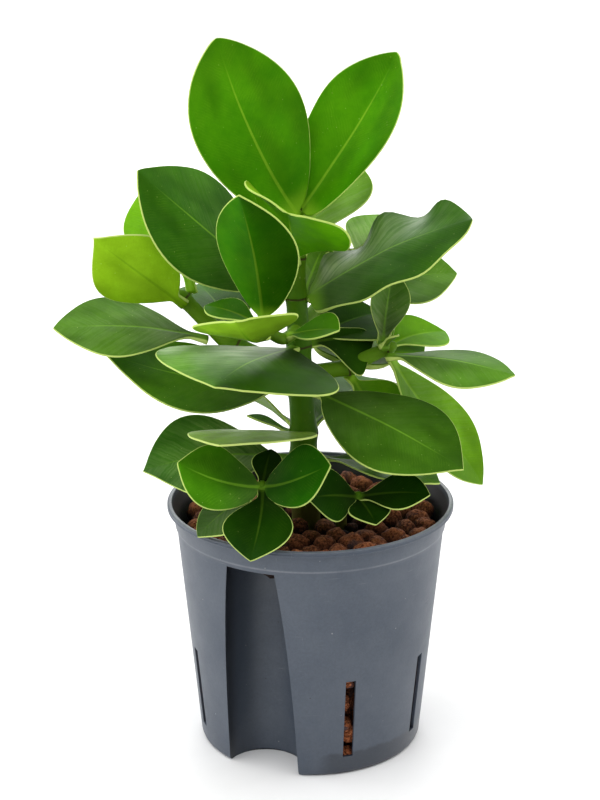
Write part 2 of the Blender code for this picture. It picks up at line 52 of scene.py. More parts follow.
# %% [markdown]
# The camera. A photograph holds its own camera: the ellipses of the pot's lip and base say how far away
# it stood and how steeply it looked down. Those values were solved once and are plain numbers here, so
# that a leaf drawn in the render falls on the same leaf in the photograph.

# %% Camera
PHOTO_HEIGHT = 800              # pixels
FOCAL_PIXELS = 2168.4
FILM = 36.0                     # mm, along the longer side
CAMERA_AWAY = 0.9217
CAMERA_HEIGHT = 0.4667
CAMERA_DOWN = 0.320             # radians
CAMERA_LEFT = 0.005
CAMERA_ROLL = -0.002


def placed(name, data):
    """A new object in the scene."""
    item = bpy.data.objects.new(name, data)
    scene.collection.objects.link(item)
    return item


camera_data = bpy.data.cameras.new("camera")
camera_data.sensor_fit = "AUTO"
camera_data.sensor_width = FILM
camera_data.lens = FOCAL_PIXELS * FILM / PHOTO_HEIGHT
camera_data.clip_start = 0.01
camera = placed("camera", camera_data)
camera.matrix_world = (Matrix.Translation((0, -CAMERA_AWAY, CAMERA_HEIGHT))
                       @ Matrix.Rotation(CAMERA_LEFT, 4, "Z")
                       @ Matrix.Rotation(pi / 2 - CAMERA_DOWN, 4, "X")
                       @ Matrix.Rotation(CAMERA_ROLL, 4, "Z"))
scene.camera = camera
print("lens", round(camera_data.lens, 1), "mm")

# %% [markdown]
# The light. Waxy leaves show their form by what they mirror, so the light is soft and comes mostly from
# above: a bright ceiling all over, dim walls, two upright panels that edge the pot from both sides, one
# behind that lays a grey sheen on the leaves that lie flat, and a key from the upper left. The side of
# the camera stays dim, which keeps the greens deep. The plain view transform keeps them full.

# %% Light
scene.view_settings.view_transform = "Standard"
scene.view_settings.look = "None"
WALL_LIGHT = 0.16
CEILING_LIGHT = 1.50
CEILING_FROM = 0.30             # the ceiling begins at this height of a direction of length 1
CEILING_FULL = 0.62
PANELS = {                      # place and the point that it faces, m, its side, m, and its power, W
    "key_panel": ((-1.1, -0.55, 1.2), (0, 0, 0.2), 2.2, 10.0),
    "left_panel": ((-1.5, 0.5, 0.45), (0, 0, 0.15), 0.9, 5.0),
    "right_panel": ((1.5, 0.5, 0.45), (0, 0, 0.15), 0.9, 5.0),
    "back_panel": ((0.0, 1.6, 0.75), (0, 0, 0.25), 0.9, 8.0),
}


def room_light():
    """A world that is dim to the sides and bright above."""
    world = bpy.data.worlds.new("room")
    world.use_nodes = True
    tree = world.node_tree
    way = tree.nodes.new("ShaderNodeTexCoord")
    parts = tree.nodes.new("ShaderNodeSeparateXYZ")
    rise = tree.nodes.new("ShaderNodeMapRange")
    rise.interpolation_type = "SMOOTHSTEP"
    for label, value in (("From Min", CEILING_FROM), ("From Max", CEILING_FULL),
                         ("To Min", WALL_LIGHT), ("To Max", CEILING_LIGHT)):
        rise.inputs[label].default_value = value
    tree.links.new(way.outputs["Generated"], parts.inputs[0])
    tree.links.new(parts.outputs["Z"], rise.inputs["Value"])
    tree.links.new(rise.outputs["Result"], tree.nodes["Background"].inputs["Strength"])
    tree.nodes["Background"].inputs["Color"].default_value = (1.0, 1.0, 1.0, 1.0)
    scene.world = world


def panel_light(name, place, aim_at, size, power):
    """A square soft panel that faces a point."""
    data = bpy.data.lights.new(name, "AREA")
    data.size = size
    data.energy = power
    panel = placed(name, data)
    way = Vector(aim_at) - Vector(place)
    panel.matrix_world = Matrix.Translation(place) @ way.to_track_quat("-Z", "Y").to_matrix().to_4x4()


room_light()
for name, (place, aim_at, size, power) in PANELS.items():
    panel_light(name, place, aim_at, size, power)

# %% [markdown]
# Two kinds of helper. One makes closed meshes from rows of points, because leaves, stems and the pot are
# all rows of rings. The other is a short way of writing shader nodes, so that a material reads as the
# list of things seen on the real surface.

# %% Mesh helpers


def unit(vectors):
    return vectors / np.maximum(np.linalg.norm(vectors, axis=-1, keepdims=True), 1e-12)


def tube_faces(rows, around, left_out=()):
    """Quads of a tube of rings but for the cells left out, then a flat cap for each end."""
    faces = []
    for i in range(rows - 1):
        for j in range(around):
            a, b = i * around + j, i * around + (j + 1) % around
            if (i, j) not in left_out:
                faces.append((a, b, b + around, a + around))
    last = (rows - 1) * around
    return faces + [list(range(around))[::-1], list(range(last, last + around))]


def circle(turns):
    """Points of the unit circle."""
    return np.stack([np.cos(turns), np.sin(turns)], axis=1)


def stacked(levels):
    """Points of flat outlines, each at its height."""
    return np.concatenate([np.column_stack([outline, np.full(len(outline), z)]) for outline, z in levels])


@contextmanager
def edited(mesh):
    """A mesh opened for editing, and written back at the end."""
    shape = bmesh.new()
    shape.from_mesh(mesh)
    yield shape
    shape.to_mesh(mesh)
    shape.free()


def facing_out(mesh):
    """Turn a closed mesh so that its faces point out."""
    with edited(mesh) as shape:
        bmesh.ops.recalc_face_normals(shape, faces=shape.faces)
        if shape.calc_volume(signed=True) < 0:
            bmesh.ops.reverse_faces(shape, faces=shape.faces)


def make_piece(name, shapes, materials, node):
    """One smooth piece on the plant's body, from closed shapes in mm, which stands for a CAD node.

    A shape holds its points and faces, the place of its finish among the materials, and fields, which
    give each point a number or a vector for the material to read.
    """
    faces, finishes, start = [], [], 0
    for shape in shapes:
        faces += [[corner + start for corner in face] for face in shape["faces"]]
        finishes += [shape.get("finish", 0)] * len(shape["faces"])
        start += len(shape["points"])
    mesh = bpy.data.meshes.new(name)
    points = np.concatenate([shape["points"] for shape in shapes])
    mesh.from_pydata((points * MM).tolist(), [], faces)
    mesh.polygons.foreach_set("material_index", finishes)
    facing_out(mesh)
    mesh.shade_smooth()
    for material in materials:
        mesh.materials.append(material)
    piece = placed(name, mesh)
    for label, first in shapes[0].get("fields", {}).items():
        values = [shape.get("fields", {}).get(label, np.zeros((len(shape["points"]), *first.shape[1:])))
                  for shape in shapes]
        add_field(piece, label, np.concatenate(values))
    return dress(piece, node)


def dress(piece, node):
    """Put a piece on the body, in the place of a CAD node, and hide that node."""
    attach(piece, BODY)
    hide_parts(node)
    return piece


def add_field(piece, name, values):
    """Store a number or a vector at each vertex, for a material to read by its name."""
    kind, part = ("FLOAT", "value") if values.ndim == 1 else ("FLOAT_VECTOR", "vector")
    field = piece.data.attributes.new(name, kind, "POINT")
    field.data.foreach_set(part, values.astype(np.float32).ravel())


print("a tube of 3 rings of 8 points has", len(tube_faces(3, 8)), "faces")

# %% Node helpers


class Nodes:
    """Short ways to add and join nodes in a material or a node group."""

    def __init__(self, tree):
        self.tree = tree

    def add(self, kind, values=(), **settings):
        """A new node with its settings, and the values or outputs that go into its sockets."""
        node = self.tree.nodes.new(kind)
        for key, value in settings.items():
            setattr(node, key, value)
        self.feed(node.inputs, values)
        return node

    def feed(self, sockets, values):
        """Join outputs to sockets by their names or numbers, or give the sockets plain values."""
        for name, value in dict(values).items():
            socket = sockets[name]
            if isinstance(value, bpy.types.NodeSocket):
                self.tree.links.new(value, socket)
            elif hasattr(socket.default_value, "__len__") and len(socket.default_value) == 4:
                socket.default_value = (*value, 1.0)
            else:
                socket.default_value = value

    def math(self, operation, *values):
        return self.add("ShaderNodeMath", enumerate(values), operation=operation).outputs[0]

    def times(self, first, second):
        return self.math("MULTIPLY", first, second)

    def step(self, value, low, high):
        """0 below low, 1 above high and smooth between; low may be the larger one."""
        values = {"Value": value, "From Min": low, "From Max": high}
        return self.add("ShaderNodeMapRange", values, interpolation_type="SMOOTHSTEP").outputs["Result"]

    def between(self, share, low, high):
        """A number that goes from low to high as share goes from 0 to 1."""
        values = {"Value": share, "To Min": low, "To Max": high}
        return self.add("ShaderNodeMapRange", values).outputs["Result"]

    def mix(self, share, first, second):
        values = {"Factor": share, 6: first, 7: second}
        return self.add("ShaderNodeMix", values, data_type="RGBA").outputs[2]

    def paint(self, colour, mask, share, over):
        """A colour with another laid over it, by a share of a mask."""
        return self.mix(self.times(mask, share), colour, over)

    def noise(self, place, scale, detail=3.0, rough=0.55):
        values = {"Vector": place, "Scale": scale, "Detail": detail, "Roughness": rough}
        return self.add("ShaderNodeTexNoise", values).outputs["Fac"]

    def stretch(self, place, scale):
        values = {"Vector": place, "Scale": scale}
        return self.add("ShaderNodeMapping", values, vector_type="POINT").outputs["Vector"]

    def scale(self, vector, factor):
        values = {0: vector, "Scale": factor}
        return self.add("ShaderNodeVectorMath", values, operation="SCALE").outputs[0]

    def field(self, name):
        """The vector that a mesh keeps at its points under a name."""
        return self.add("ShaderNodeAttribute", attribute_name=name).outputs["Vector"]

    def parts(self, vector):
        return self.add("ShaderNodeSeparateXYZ", {0: vector}).outputs

    def place(self):
        return self.add("ShaderNodeTexCoord").outputs["Object"]

    def normal(self):
        return self.add("ShaderNodeNewGeometry").outputs["Normal"]

    def bump(self, height, distance, strength):
        values = {"Height": height, "Distance": distance, "Strength": strength}
        return self.add("ShaderNodeBump", values).outputs["Normal"]

    def group(self, group, **values):
        return self.add("ShaderNodeGroup", values, node_tree=group).outputs

    def mask(self, group, **values):
        return self.group(group, **values)["Mask"]


print("node helpers:", [name for name in vars(Nodes) if not name.startswith("_")])

# %% Groups and materials


def new_group(name, vectors, values, outputs=("Mask",)):
    """An empty node group that takes vectors and values and gives out values, with its helpers."""
    tree = bpy.data.node_groups.new(name, "ShaderNodeTree")
    for way, kind, labels in (("INPUT", "Vector", vectors), ("INPUT", "Float", values),
                              ("OUTPUT", "Float", outputs)):
        for label in labels:
            tree.interface.new_socket(label, in_out=way, socket_type="NodeSocket" + kind)
    made = Nodes(tree)
    return tree, made, made.add("NodeGroupInput").outputs, made.add("NodeGroupOutput").inputs


def new_material(name, **constants):
    """A material with one Principled shader, whose plain values are set on its own sockets."""
    material = bpy.data.materials.new(name)
    material.use_nodes = True
    shader = material.node_tree.nodes["Principled BSDF"]
    for label, value in constants.items():
        shader.inputs[label.replace("_", " ")].default_value = value
    return material, Nodes(material.node_tree), shader.inputs


print("node groups before the first effect:", len(bpy.data.node_groups))

# %% [markdown]
# Effects that several surfaces share. Nothing grown, fired or moulded is one even colour: a soft mottle
# breaks it up, small specks sit on it, and dust gathers on what faces up; on the pebbles the same mask
# also lays painted light on their tops. Each is a node group that gives out a mask from 0 to 1, and each
# material mixes its own colours by it.

# %% Shared effects


def make_mottle():
    """Broad and fine cloudiness together, centred on one half."""
    tree, nodes, given, out = new_group("mottle", ["Place"], ["Scale"])
    broad = nodes.noise(given["Place"], given["Scale"], 2.0, 0.5)
    fine = nodes.noise(given["Place"], nodes.times(given["Scale"], 5.3), 4.0, 0.65)
    both = nodes.math("MULTIPLY_ADD", fine, 0.35, nodes.times(broad, 0.65))
    nodes.feed(out, {"Mask": nodes.step(both, 0.32, 0.68)})
    return tree


def make_specks():
    """Small round dots, some larger than others, over a share of the surface."""
    tree, nodes, given, out = new_group("specks", ["Place"], ["Scale", "Size"])
    cells = nodes.add("ShaderNodeTexVoronoi", {"Vector": given["Place"], "Scale": given["Scale"]})
    chosen = nodes.parts(cells.outputs["Color"])[0]
    reach = nodes.times(given["Size"], nodes.step(chosen, 0.55, 1.0))
    nodes.feed(out, {"Mask": nodes.step(cells.outputs["Distance"], reach, nodes.times(reach, 0.4))})
    return tree


def make_dust():
    """More on what faces up, broken by noise."""
    tree, nodes, given, out = new_group("dust", ["Place"], ["Scale"])
    up = nodes.step(nodes.parts(nodes.normal())[2], 0.1, 0.95)
    cloud = nodes.step(nodes.noise(given["Place"], given["Scale"], 5.0, 0.7), 0.42, 0.7)
    nodes.feed(out, {"Mask": nodes.times(up, cloud)})
    return tree


MOTTLE, SPECKS, DUST_AND_TOP_LIGHT = make_mottle(), make_specks(), make_dust()
print("node groups:", [tree.name for tree in bpy.data.node_groups])

# %% [markdown]
# The floor: a wide pale sheet, plain enough to leave the plant alone in the picture, with just enough
# tooth to hold a soft shadow.

# %% Floor
FLOOR_SIZE = 40.0


def make_floor():
    material, nodes, shader = new_material("studio_floor", Roughness=0.65)
    grain = nodes.noise(nodes.place(), 60.0, 4.0)
    nodes.feed(shader, {"Base Color": nodes.mix(grain, (0.90, 0.90, 0.90), (0.94, 0.94, 0.94))})
    mesh = bpy.data.meshes.new("studio_floor")
    with edited(mesh) as shape:
        bmesh.ops.create_grid(shape, x_segments=4, y_segments=4, size=FLOOR_SIZE / 2)
    mesh.materials.append(material)
    placed("studio_floor", mesh)


make_floor()
print("floor:", FLOOR_SIZE, "m wide")

# %% [markdown]
# The plant's plan. The same joints, runs and leaves as in the construction: a joint is a place on the
# stem, a run is a stretch of stem through joints, and a leaf is a joint, a heading, a rise, a length and
# a width, with a few words for how it rolls, folds and bends.

# %% Joints and runs
STEM_FOOT = 62.0                # the stem reaches down to here in its hole

# Joints of the stem, mm: where each pair of leaves or side shoot grows
JOINTS = {
    "foot": (-2.0, 0.0, STEM_FOOT),
    "bed": (-2.0, 0.0, 98.0),
    "soil": (-2.0, 0.0, 112.0),
    "low": (-3.0, 0.0, 134.0),
    "ring": (-3.0, 0.0, 146.0),
    "fork": (-4.0, 0.0, 166.0),
    "middle": (-5.0, 0.0, 187.0),
    "upper": (-6.0, 0.0, 209.0),
    "neck": (-6.0, 0.0, 227.0),
    "crown": (-5.0, 0.0, 249.0),
    "fork_axil": (-4.0, 0.0, 173.5),
    "middle_axil": (-5.0, 0.0, 194.5),
    "left_bend": (-33.0, 2.0, 186.0),
    "left_knee": (-43.0, 3.0, 194.0),
    "left_tip": (-56.0, 4.0, 207.0),
    "right_bend": (17.0, 2.0, 176.0),
    "right_low": (21.5, 2.5, 178.3),
    "right_knee": (26.0, 3.0, 180.5),
    "right_tip": (34.0, 4.0, 184.0),
    "front_bend": (-12.0, -22.0, 196.5),
    "front_tip": (-20.0, -46.0, 208.5),
    "back_bend": (6.0, 24.0, 202.0),
    "back_tip": (14.0, 44.0, 214.0),
}

# Each run of the stem: its joints from the root up, and its radius at each, mm
RUNS = {
    "main": (("foot", 6.6), ("bed", 6.6), ("soil", 6.6), ("low", 6.3), ("ring", 6.0), ("fork", 5.8),
             ("middle", 5.2), ("upper", 4.6), ("neck", 3.9), ("crown", 2.4)),
    "left": (("fork_axil", 4.2), ("left_bend", 4.1), ("left_knee", 3.8), ("left_tip", 3.3)),
    "right": (("fork_axil", 3.8), ("right_bend", 3.6), ("right_low", 3.5), ("right_knee", 3.3),
              ("right_tip", 2.9)),
    "front": (("middle_axil", 3.0), ("front_bend", 2.7), ("front_tip", 2.4)),
    "back": (("middle_axil", 3.2), ("back_bend", 3.0), ("back_tip", 2.6)),
}
print("joints:", len(JOINTS), "runs:", list(RUNS))

# %% Plan of the leaves
# Leaves, mm and degrees. Heading 0 points to +X and 90 to the back; rise is up from level; both are
# of the straight line from the leaf's foot to its tip. roll turns the face about that line. leave
# and end are the rise at the foot and at the tip. fold lifts the halves about the midrib, fold_left
# the left one alone, and wave and wave_right ripple them. stalk is the stalk's share of the length. full
# rounds the foot, blunt the tip, peak moves the widest place, skew widens the right half and shift moves
# the foot alone.
LEAF_DEFAULTS = {
    "roll": 0.0, "leave": None, "end": None, "swing": 0.0, "fold": 8.0, "fold_left": None,
    "wave": 0.0, "wave_right": 0.0, "waves": 2.0, "phase": 0.0, "stalk": 0.08, "full": 1.0,
    "blunt": 0.9, "peak": 1.25, "skew": 0.0, "shift": (0.0, 0.0, 0.0), "finish": "leaf",
}

LEAVES = {
    "leaf_top_left": ("crown", -167, 68, 81, 57, {
        "roll": 72, "leave": 57, "end": 75, "fold": 6, "full": 0.5, "blunt": 0.68, "stalk": 0.0,
        "skew": 0.08, "peak": 1.15, "finish": "young"}),
    "leaf_top_right": ("crown", 8, 61, 77, 44, {
        "roll": -48, "leave": 57, "end": 68, "fold": 26, "full": 0.5, "blunt": 0.75, "stalk": 0.0,
        "skew": 0.04, "finish": "young"}),
    "leaf_neck_back": ("neck", 66, 36, 60, 43, {"roll": -10}),
    "leaf_neck_front": ("neck", -93, 33, 62, 54, {
        "roll": 30, "fold": 12, "fold_left": 16, "full": 0.7, "finish": "pale"}),
    "leaf_upper_left": ("upper", -170, 44, 86, 59, {
        "roll": 40, "leave": 49, "end": 46, "fold": -8, "full": 0.65, "blunt": 0.85, "peak": 1.1,
        "skew": 0.1}),
    "leaf_upper_right": ("upper", -9, 28, 80, 55, {
        "roll": -14, "fold": -10, "fold_left": 2, "wave": 4.5, "wave_right": 1.0, "waves": 2.7,
        "phase": -0.2, "full": 0.5, "blunt": 0.6, "peak": 1.15}),
    "leaf_middle_front": ("middle", -112, 5, 85, 82, {
        "roll": 3, "leave": 10, "fold": -1, "fold_left": -8, "full": 0.5}),
    "leaf_middle_back": ("middle", 44, 5, 46, 43, {"roll": -20, "full": 0.7}),
    "leaf_fork_left": ("fork", -175, 14, 84, 50, {
        "roll": 20, "leave": 8, "end": 24, "fold": 0, "full": 0.8, "blunt": 1.15, "peak": 0.95}),
    "leaf_fork_right": ("fork", -36, -14, 82, 51, {
        "roll": -18, "leave": -8, "end": -20, "fold": -6, "full": 0.5, "blunt": 1.0,
        "peak": 1.1, "skew": -0.02}),
    "leaf_ring_front": ("ring", -115, 15, 78, 58, {"roll": -6, "leave": 30, "end": 8, "fold": 0}),
    "leaf_ring_back": ("ring", 62, 4, 66, 48, {}),
    "leaf_ring_small": ("ring", 176, 22, 20, 9, {}),
    "leaf_ring_left": ("ring", 124, 6, 38, 26, {"roll": -44}),
    "leaf_low_left": ("low", -168, -1, 66, 51, {
        "roll": 27, "leave": 14, "end": -18, "full": 0.8, "blunt": 1.1, "skew": -0.06}),
    "leaf_low_right": ("low", -17, -6, 57, 44, {}),
    "leaf_left_pale": ("left_tip", -154, 40, 53, 40, {
        "roll": -60, "leave": 40, "end": 42, "skew": 0.1, "full": 0.7, "blunt": 1.15, "peak": 0.92,
        "finish": "pale"}),
    "leaf_left_upright": ("left_tip", 116, 48, 60, 46, {"roll": 40, "finish": "young"}),
    "leaf_left_out": ("left_knee", -170, 7, 67, 48, {
        "roll": 17, "leave": 20, "end": -2, "fold": 0, "full": 0.8}),
    "leaf_left_back": ("left_bend", 112, 12, 56, 40, {}),
    "leaf_right_upright": ("right_tip", 12, 82, 33, 21, {
        "roll": -90, "leave": 84, "end": 78, "fold": 30, "full": 0.7, "stalk": 0.02}),
    "leaf_right_out": ("right_tip", -19, -3, 57, 38, {
        "roll": -8, "leave": 9, "end": -12, "fold": -10, "full": 0.65}),
    "leaf_right_young_big": ("right_tip", 46, -2, 41, 27, {"roll": -20, "finish": "young"}),
    "leaf_right_young_small": ("right_knee", 36, 0, 32, 22, {"roll": -20, "finish": "young"}),
    "leaf_right_bud": ("right_tip", -50, 35, 11, 6, {}),
    "leaf_right_back": ("right_bend", 80, -3, 60, 54, {"roll": -12, "leave": 2}),
    "leaf_right_under": ("right_bend", 30, -62, 36, 36, {"roll": -75}),
    "leaf_right_drooping": ("right_tip", 22, -55, 84, 32, {
        "roll": -60, "leave": -62, "end": -60, "full": 0.5}),
    "leaf_front_round": ("front_tip", -113, 68, 63, 37, {
        "full": 0.5, "peak": 1.05, "skew": -0.04, "stalk": 0.03}),
    "leaf_front_flat": ("front_tip", -103, 24, 50, 46, {
        "roll": -11, "leave": 6, "end": 40, "fold": 16}),
    "leaf_front_small_left": ("front_tip", 145, 7, 28, 18, {"roll": 12, "full": 0.7}),
    "leaf_front_small_right": ("front_bend", -30, 14, 25, 22, {"roll": -18, "fold": 10, "full": 0.6}),
    "leaf_back_shoot_right": ("back_bend", 11, 8, 58, 47, {"roll": -23}),
    "leaf_back_shoot_left": ("back_bend", 165, 12, 58, 44, {}),
    "leaf_back_shoot_high": ("back_tip", 56, 16, 46, 38, {}),
    "leaf_back_shoot_back": ("back_tip", 140, 30, 56, 40, {}),
}
print("leaves:", len(LEAVES))

# %% Plan of the small shoots
SHOOT_FOOT = 84.0
SHOOT_RADIUS = 2.6
SHOOT_TIP_RADIUS = 2.2
SHOOT_BEND = 112.0              # a small shoot stands upright up to here
LEAF_SINK = 1.5                 # its leaves start this far inside it

# The two small shoots at the front rim: where they stand, where their leaves meet, and the leaves
ROSETTES = {
    "rosette_left": ((-14.0, -12.0), (-21.0, -36.0, 133.0), (
        (-162, 22, 42, 30, {"roll": 55, "leave": 5, "end": 35, "full": 0.35}),
        (-28, 25, 38, 30, {"roll": -50, "leave": 10, "end": 30, "full": 0.35}),
        (-97, -30, 41, 31, {"swing": 12, "full": 0.8, "stalk": 0.14}),
        (-157, -31, 36, 25, {"roll": 15, "skew": -0.2}),
        (76, 38, 20, 14, {}))),
    "rosette_right": ((14.0, -4.0), (21.0, -36.0, 128.0), (
        (-150, 10, 26, 26, {"roll": 50, "full": 0.6}),
        (-18, 9, 33, 20, {"roll": -35, "full": 0.8}),
        (-66, -18, 20, 20, {}))),
}
print("small shoots:", {name: len(leaves) for name, (_, _, leaves) in ROSETTES.items()})

# %% [markdown]
# How the leaves differ. On one plant some leaves are young and yellow-green, some old and olive, some
# have kept their waxy bloom and some show their underside. A leaf's tone also carries painted light and
# shade, over the whole leaf, on each half and at the foot, and its wax lays a painted sheen. That is one
# line of plain values for a leaf.

# %% Looks of the leaves
# Paint, tint (0 a clean green, 1 olive), tone (1 as painted; it holds painted light and shade) and wax
# (0 to 1; it gives gloss and lays painted sheen). A tone or a wax is one number, or one for the half
# with v < 0 and one for the half with v > 0, so that one half can be painted lit and the other shaded.
# Where they aren't the usual ones, there follow the face that carries the deep green (1 the upper, -1 the
# lower) and the tone of the foot, darkened as painted shade, as a share of the tone of the tip.
PLAIN_LOOK = ("leaf", 0.5, 1.0, 0.2)
USUAL_SIDE, USUAL_FOOT_SHADE = 1, 0.8
LOOKS = {
    "leaf_top_left": ("young", 0.13, 0.86, 0.0, 1, 0.95),
    "leaf_top_right": ("young", 0.15, 0.88, 0.0, 1, 0.95),
    "leaf_neck_back": ("young", 0.9, 0.95, 0.75),
    "leaf_neck_front": ("young", 0.3, (1.15, 1.2), 0.0, -1),
    "leaf_front_round": ("young", 0.0, (0.25, 0.72), 0.0, -1, 1.1),
    "leaf_upper_left": ("leaf", 0.3, (1.0, 1.25), (0.1, 0.3)),
    "leaf_upper_right": ("leaf", 0.4, (1.0, 0.75), (0.8, 0.1)),
    "leaf_middle_front": ("leaf", 0.6, (0.6, 1.75), (0.0, 1.0), 1, 0.7),
    "leaf_middle_back": ("leaf", 0.6, 0.6, 0.05),
    "leaf_fork_left": ("leaf", 0.9, (1.2, 1.3), 0.1, 1, 0.75),
    "leaf_fork_right": ("leaf", 0.8, (0.85, 1.1), (0.15, 0.1), 1, 0.75),
    "leaf_ring_front": ("pale", 0.3, (0.6, 0.85), 0.5, 1, 0.6),
    "leaf_ring_small": ("young", 0.4, (0.5, 0.7), (0.0, 0.1)),
    "leaf_low_left": ("leaf", 0.2, (1.0, 1.1), 1.1),
    "leaf_low_right": ("leaf", 0.8, 1.1, 0.5),
    "leaf_left_pale": ("pale", 0.2, 1.3, 0.0, -1),
    "leaf_left_upright": ("young", 0.8, 1.2, 0.1),
    "leaf_left_out": ("leaf", 1.0, (1.1, 1.3), 0.4),
    "leaf_right_upright": ("leaf", 0.8, 1.2, 0.8),
    "leaf_right_out": ("leaf", 0.9, (1.2, 1.4), (0.2, 0.25)),
    "leaf_right_young_big": ("young", 0.8, (1.1, 1.2), 0.05),
    "leaf_right_young_small": ("young", 0.9, 1.2, 0.05),
    "leaf_right_under": ("young", 0.8, 0.8, 0.05),
    "leaf_right_drooping": ("young", 0.9, 0.95, 0.35),
    "leaf_front_flat": ("young", 0.5, (0.55, 1.0), (0.0, 0.6)),
    "leaf_front_small_left": ("young", 0.2, (0.45, 0.5), 0.0),
    "leaf_front_small_right": ("young", 0.3, 0.55, (0.0, 0.1)),
    "leaf_back_shoot_right": ("leaf", 1.0, 1.2, 0.4),
    "leaf_back_shoot_high": ("leaf", 1.0, 1.5, 0.6),
    "rosette_left 0": ("leaf", 0.5, (2.1, 1.3), 0.0, 1, 0.8),
    "rosette_left 1": ("leaf", 0.0, (0.85, 1.2), 0.0, 1, 0.9),
    "rosette_left 2": ("leaf", 0.2, 0.35, 0.0),
    "rosette_left 3": ("leaf", 0.8, 0.6, 0.8),
    "rosette_left 4": ("leaf", 0.4, 0.2, 0.0),
    "rosette_right 0": ("leaf", 0.2, 0.35, 0.0),
    "rosette_right 1": ("leaf", 0.2, 0.25, 0.0),
    "rosette_right 2": ("leaf", 0.2, 0.25, 0.0),
    "leaf_right_back": ("leaf", 0.6, 0.65, 0.0, -1),
    "leaf_upper_right_small": ("leaf", 1.0, 1.4, 0.5),
    "leaf_middle_back_low": ("leaf", 0.5, 0.5, 0.0),
}


def look_of(name):
    """Paint, tint, tones with painted light and shade, waxes with painted sheen, side and painted foot
    shade of a leaf's look, with its tones and waxes in pairs.
    """
    look = LOOKS.get(name, PLAIN_LOOK)
    paint, tint, tone_and_shade, wax_and_sheen, side, foot = look + (USUAL_SIDE, USUAL_FOOT_SHADE)[len(look) - 4:]
    return paint, tint, np.broadcast_to(tone_and_shade, 2), np.broadcast_to(wax_and_sheen, 2), side, foot


print("leaves with a look of their own:", len(LOOKS))

# %% [markdown]
# A leaf. It is a stiff, waxy paddle on a short flat stalk: thick like a plum's skin, rounded at its rim,
# a little folded along its midrib, with hardly any veins that stand up. It could be a flat sheet with a
# picture of a leaf on it, but then its rim would be a knife edge and its gloss would lie. So each leaf is
# a closed tube of rings: a ring goes over the upper face from rim to rim and back under the lower face.
# Every point keeps where it lies on the leaf, in millimetres, and the finish is drawn from that.

# %% Leaf shape
SEAT = 0.3                      # a leaf's foot stands this far off the stem, and its root goes in
ROOT = 1.5
BLADE = 0.9                     # thickness of a blade
STALK_HALF = 2.6                # half width of a stalk at its foot
STALK_DEPTH = 3.0               # its thickness there
STALK_SHARE = 0.2               # the stalk's thickness runs out at this share of the length
TIP_HALF = 0.08
FOLD_ROUND = 0.07               # the fold is rounded over this share of the half width


def aim(heading, rise):
    """Unit vector for a heading and a rise in degrees."""
    turn, lift = radians(heading), radians(rise)
    return np.array([cos(turn) * cos(lift), sin(turn) * cos(lift), sin(lift)])


class Leaf:
    """A leaf's midrib, outline and curved face, in mm, for whole lists of places u along and v across."""

    def __init__(self, joint, along, radius, heading, rise, length, width, options):
        for key, value in {**LEAF_DEFAULTS, **options}.items():
            setattr(self, key, value)
        self.leave = rise + 12 if self.leave is None else self.leave
        self.end = rise - 12 if self.end is None else self.end
        self.fold_left = self.fold if self.fold_left is None else self.fold_left
        self.length, self.width = length, width
        self.start = length * aim(heading + self.swing, self.leave)
        self.finish_way = length * aim(heading - self.swing, self.end)
        out = unit(self.start - along * np.dot(self.start, along))
        _, side, face = self.axes(self.start)
        reach = abs(STALK_HALF * np.dot(side, out)) + abs(STALK_DEPTH / 2 * np.dot(face, out))
        self.foot = joint + out * (radius + SEAT + reach)
        self.tip = self.foot + length * aim(heading, rise)
        self.foot = self.foot + np.array(self.shift)

    def axes(self, slope):
        """Directions along the leaf, across it and out of its face."""
        way = unit(slope)
        level = unit(np.cross(way, (0.0, 0.0, 1.0)))
        upper = np.cross(level, way)
        turn = radians(self.roll)
        return way, level * cos(turn) + upper * sin(turn), upper * cos(turn) - level * sin(turn)

    def midrib(self, u):
        """Points and slopes of the midrib, a smooth curve from foot to tip."""
        u = u[:, None]
        points = ((2 * u**3 - 3 * u**2 + 1) * self.foot + (u**3 - 2 * u**2 + u) * self.start
                  + (3 * u**2 - 2 * u**3) * self.tip + (u**3 - u**2) * self.finish_way)
        slopes = ((6 * u**2 - 6 * u) * self.foot + (3 * u**2 - 4 * u + 1) * self.start
                  + (6 * u - 6 * u**2) * self.tip + (3 * u**2 - 2 * u) * self.finish_way)
        return points, slopes

    def spread(self, u):
        """How wide the blade is at u, as a share of its full width."""
        q = np.clip((u - self.stalk) / (1 - self.stalk), 0, 1)
        power = 1.1 * self.full * (1 - q) + self.blunt * q
        return np.maximum(0.0, np.sin(pi * q**self.peak))**power

    def surface(self, u, v):
        """Middle of the blade at every u and v, its face direction there, and its half width."""
        middle, slopes = self.midrib(u)
        _, side, face = self.axes(slopes)
        share = self.spread(u)
        sign, reach = np.where(v > 0, 1.0, -1.0), np.abs(v)
        half = np.maximum(TIP_HALF, np.hypot(STALK_HALF * (1 - u), self.width / 2 * share))
        half = half[:, None] * (1 + sign * self.skew * share[:, None])
        lift = radians(1) * np.where(v > 0, self.fold, self.fold_left) * np.minimum(1, 4 * share)[:, None]
        height = (np.sqrt(reach**2 + FOLD_ROUND**2) - FOLD_ROUND) * half * np.sin(lift)
        height += (np.where(v > 0, self.wave_right, self.wave) * reach**1.5
                   * (np.sqrt(share) * np.sin(tau * self.waves * u + pi * self.phase))[:, None])
        points = (middle[:, None] + side[:, None] * (sign * reach * half * np.cos(lift))[..., None]
                  + face[:, None] * height[..., None])
        return points, face[:, None], half


trial = Leaf(np.zeros(3), np.array([0.0, 0.0, 1.0]), 5.0, 0, 20, 80, 55, {})
widest = int(np.argmax(trial.spread(np.linspace(0, 1, 101))))
print("a leaf of 80 mm by 55 mm is widest at", widest, "% of its length")

# %% [markdown]
# From the shape to a mesh. The rings lie closer together near the foot and the tip, and their points
# closer together near the rim, where the surface turns. On top of the smooth shape come the small things:
# a slight swell and dip, a shallow channel over the midrib and a rounded keel under it.

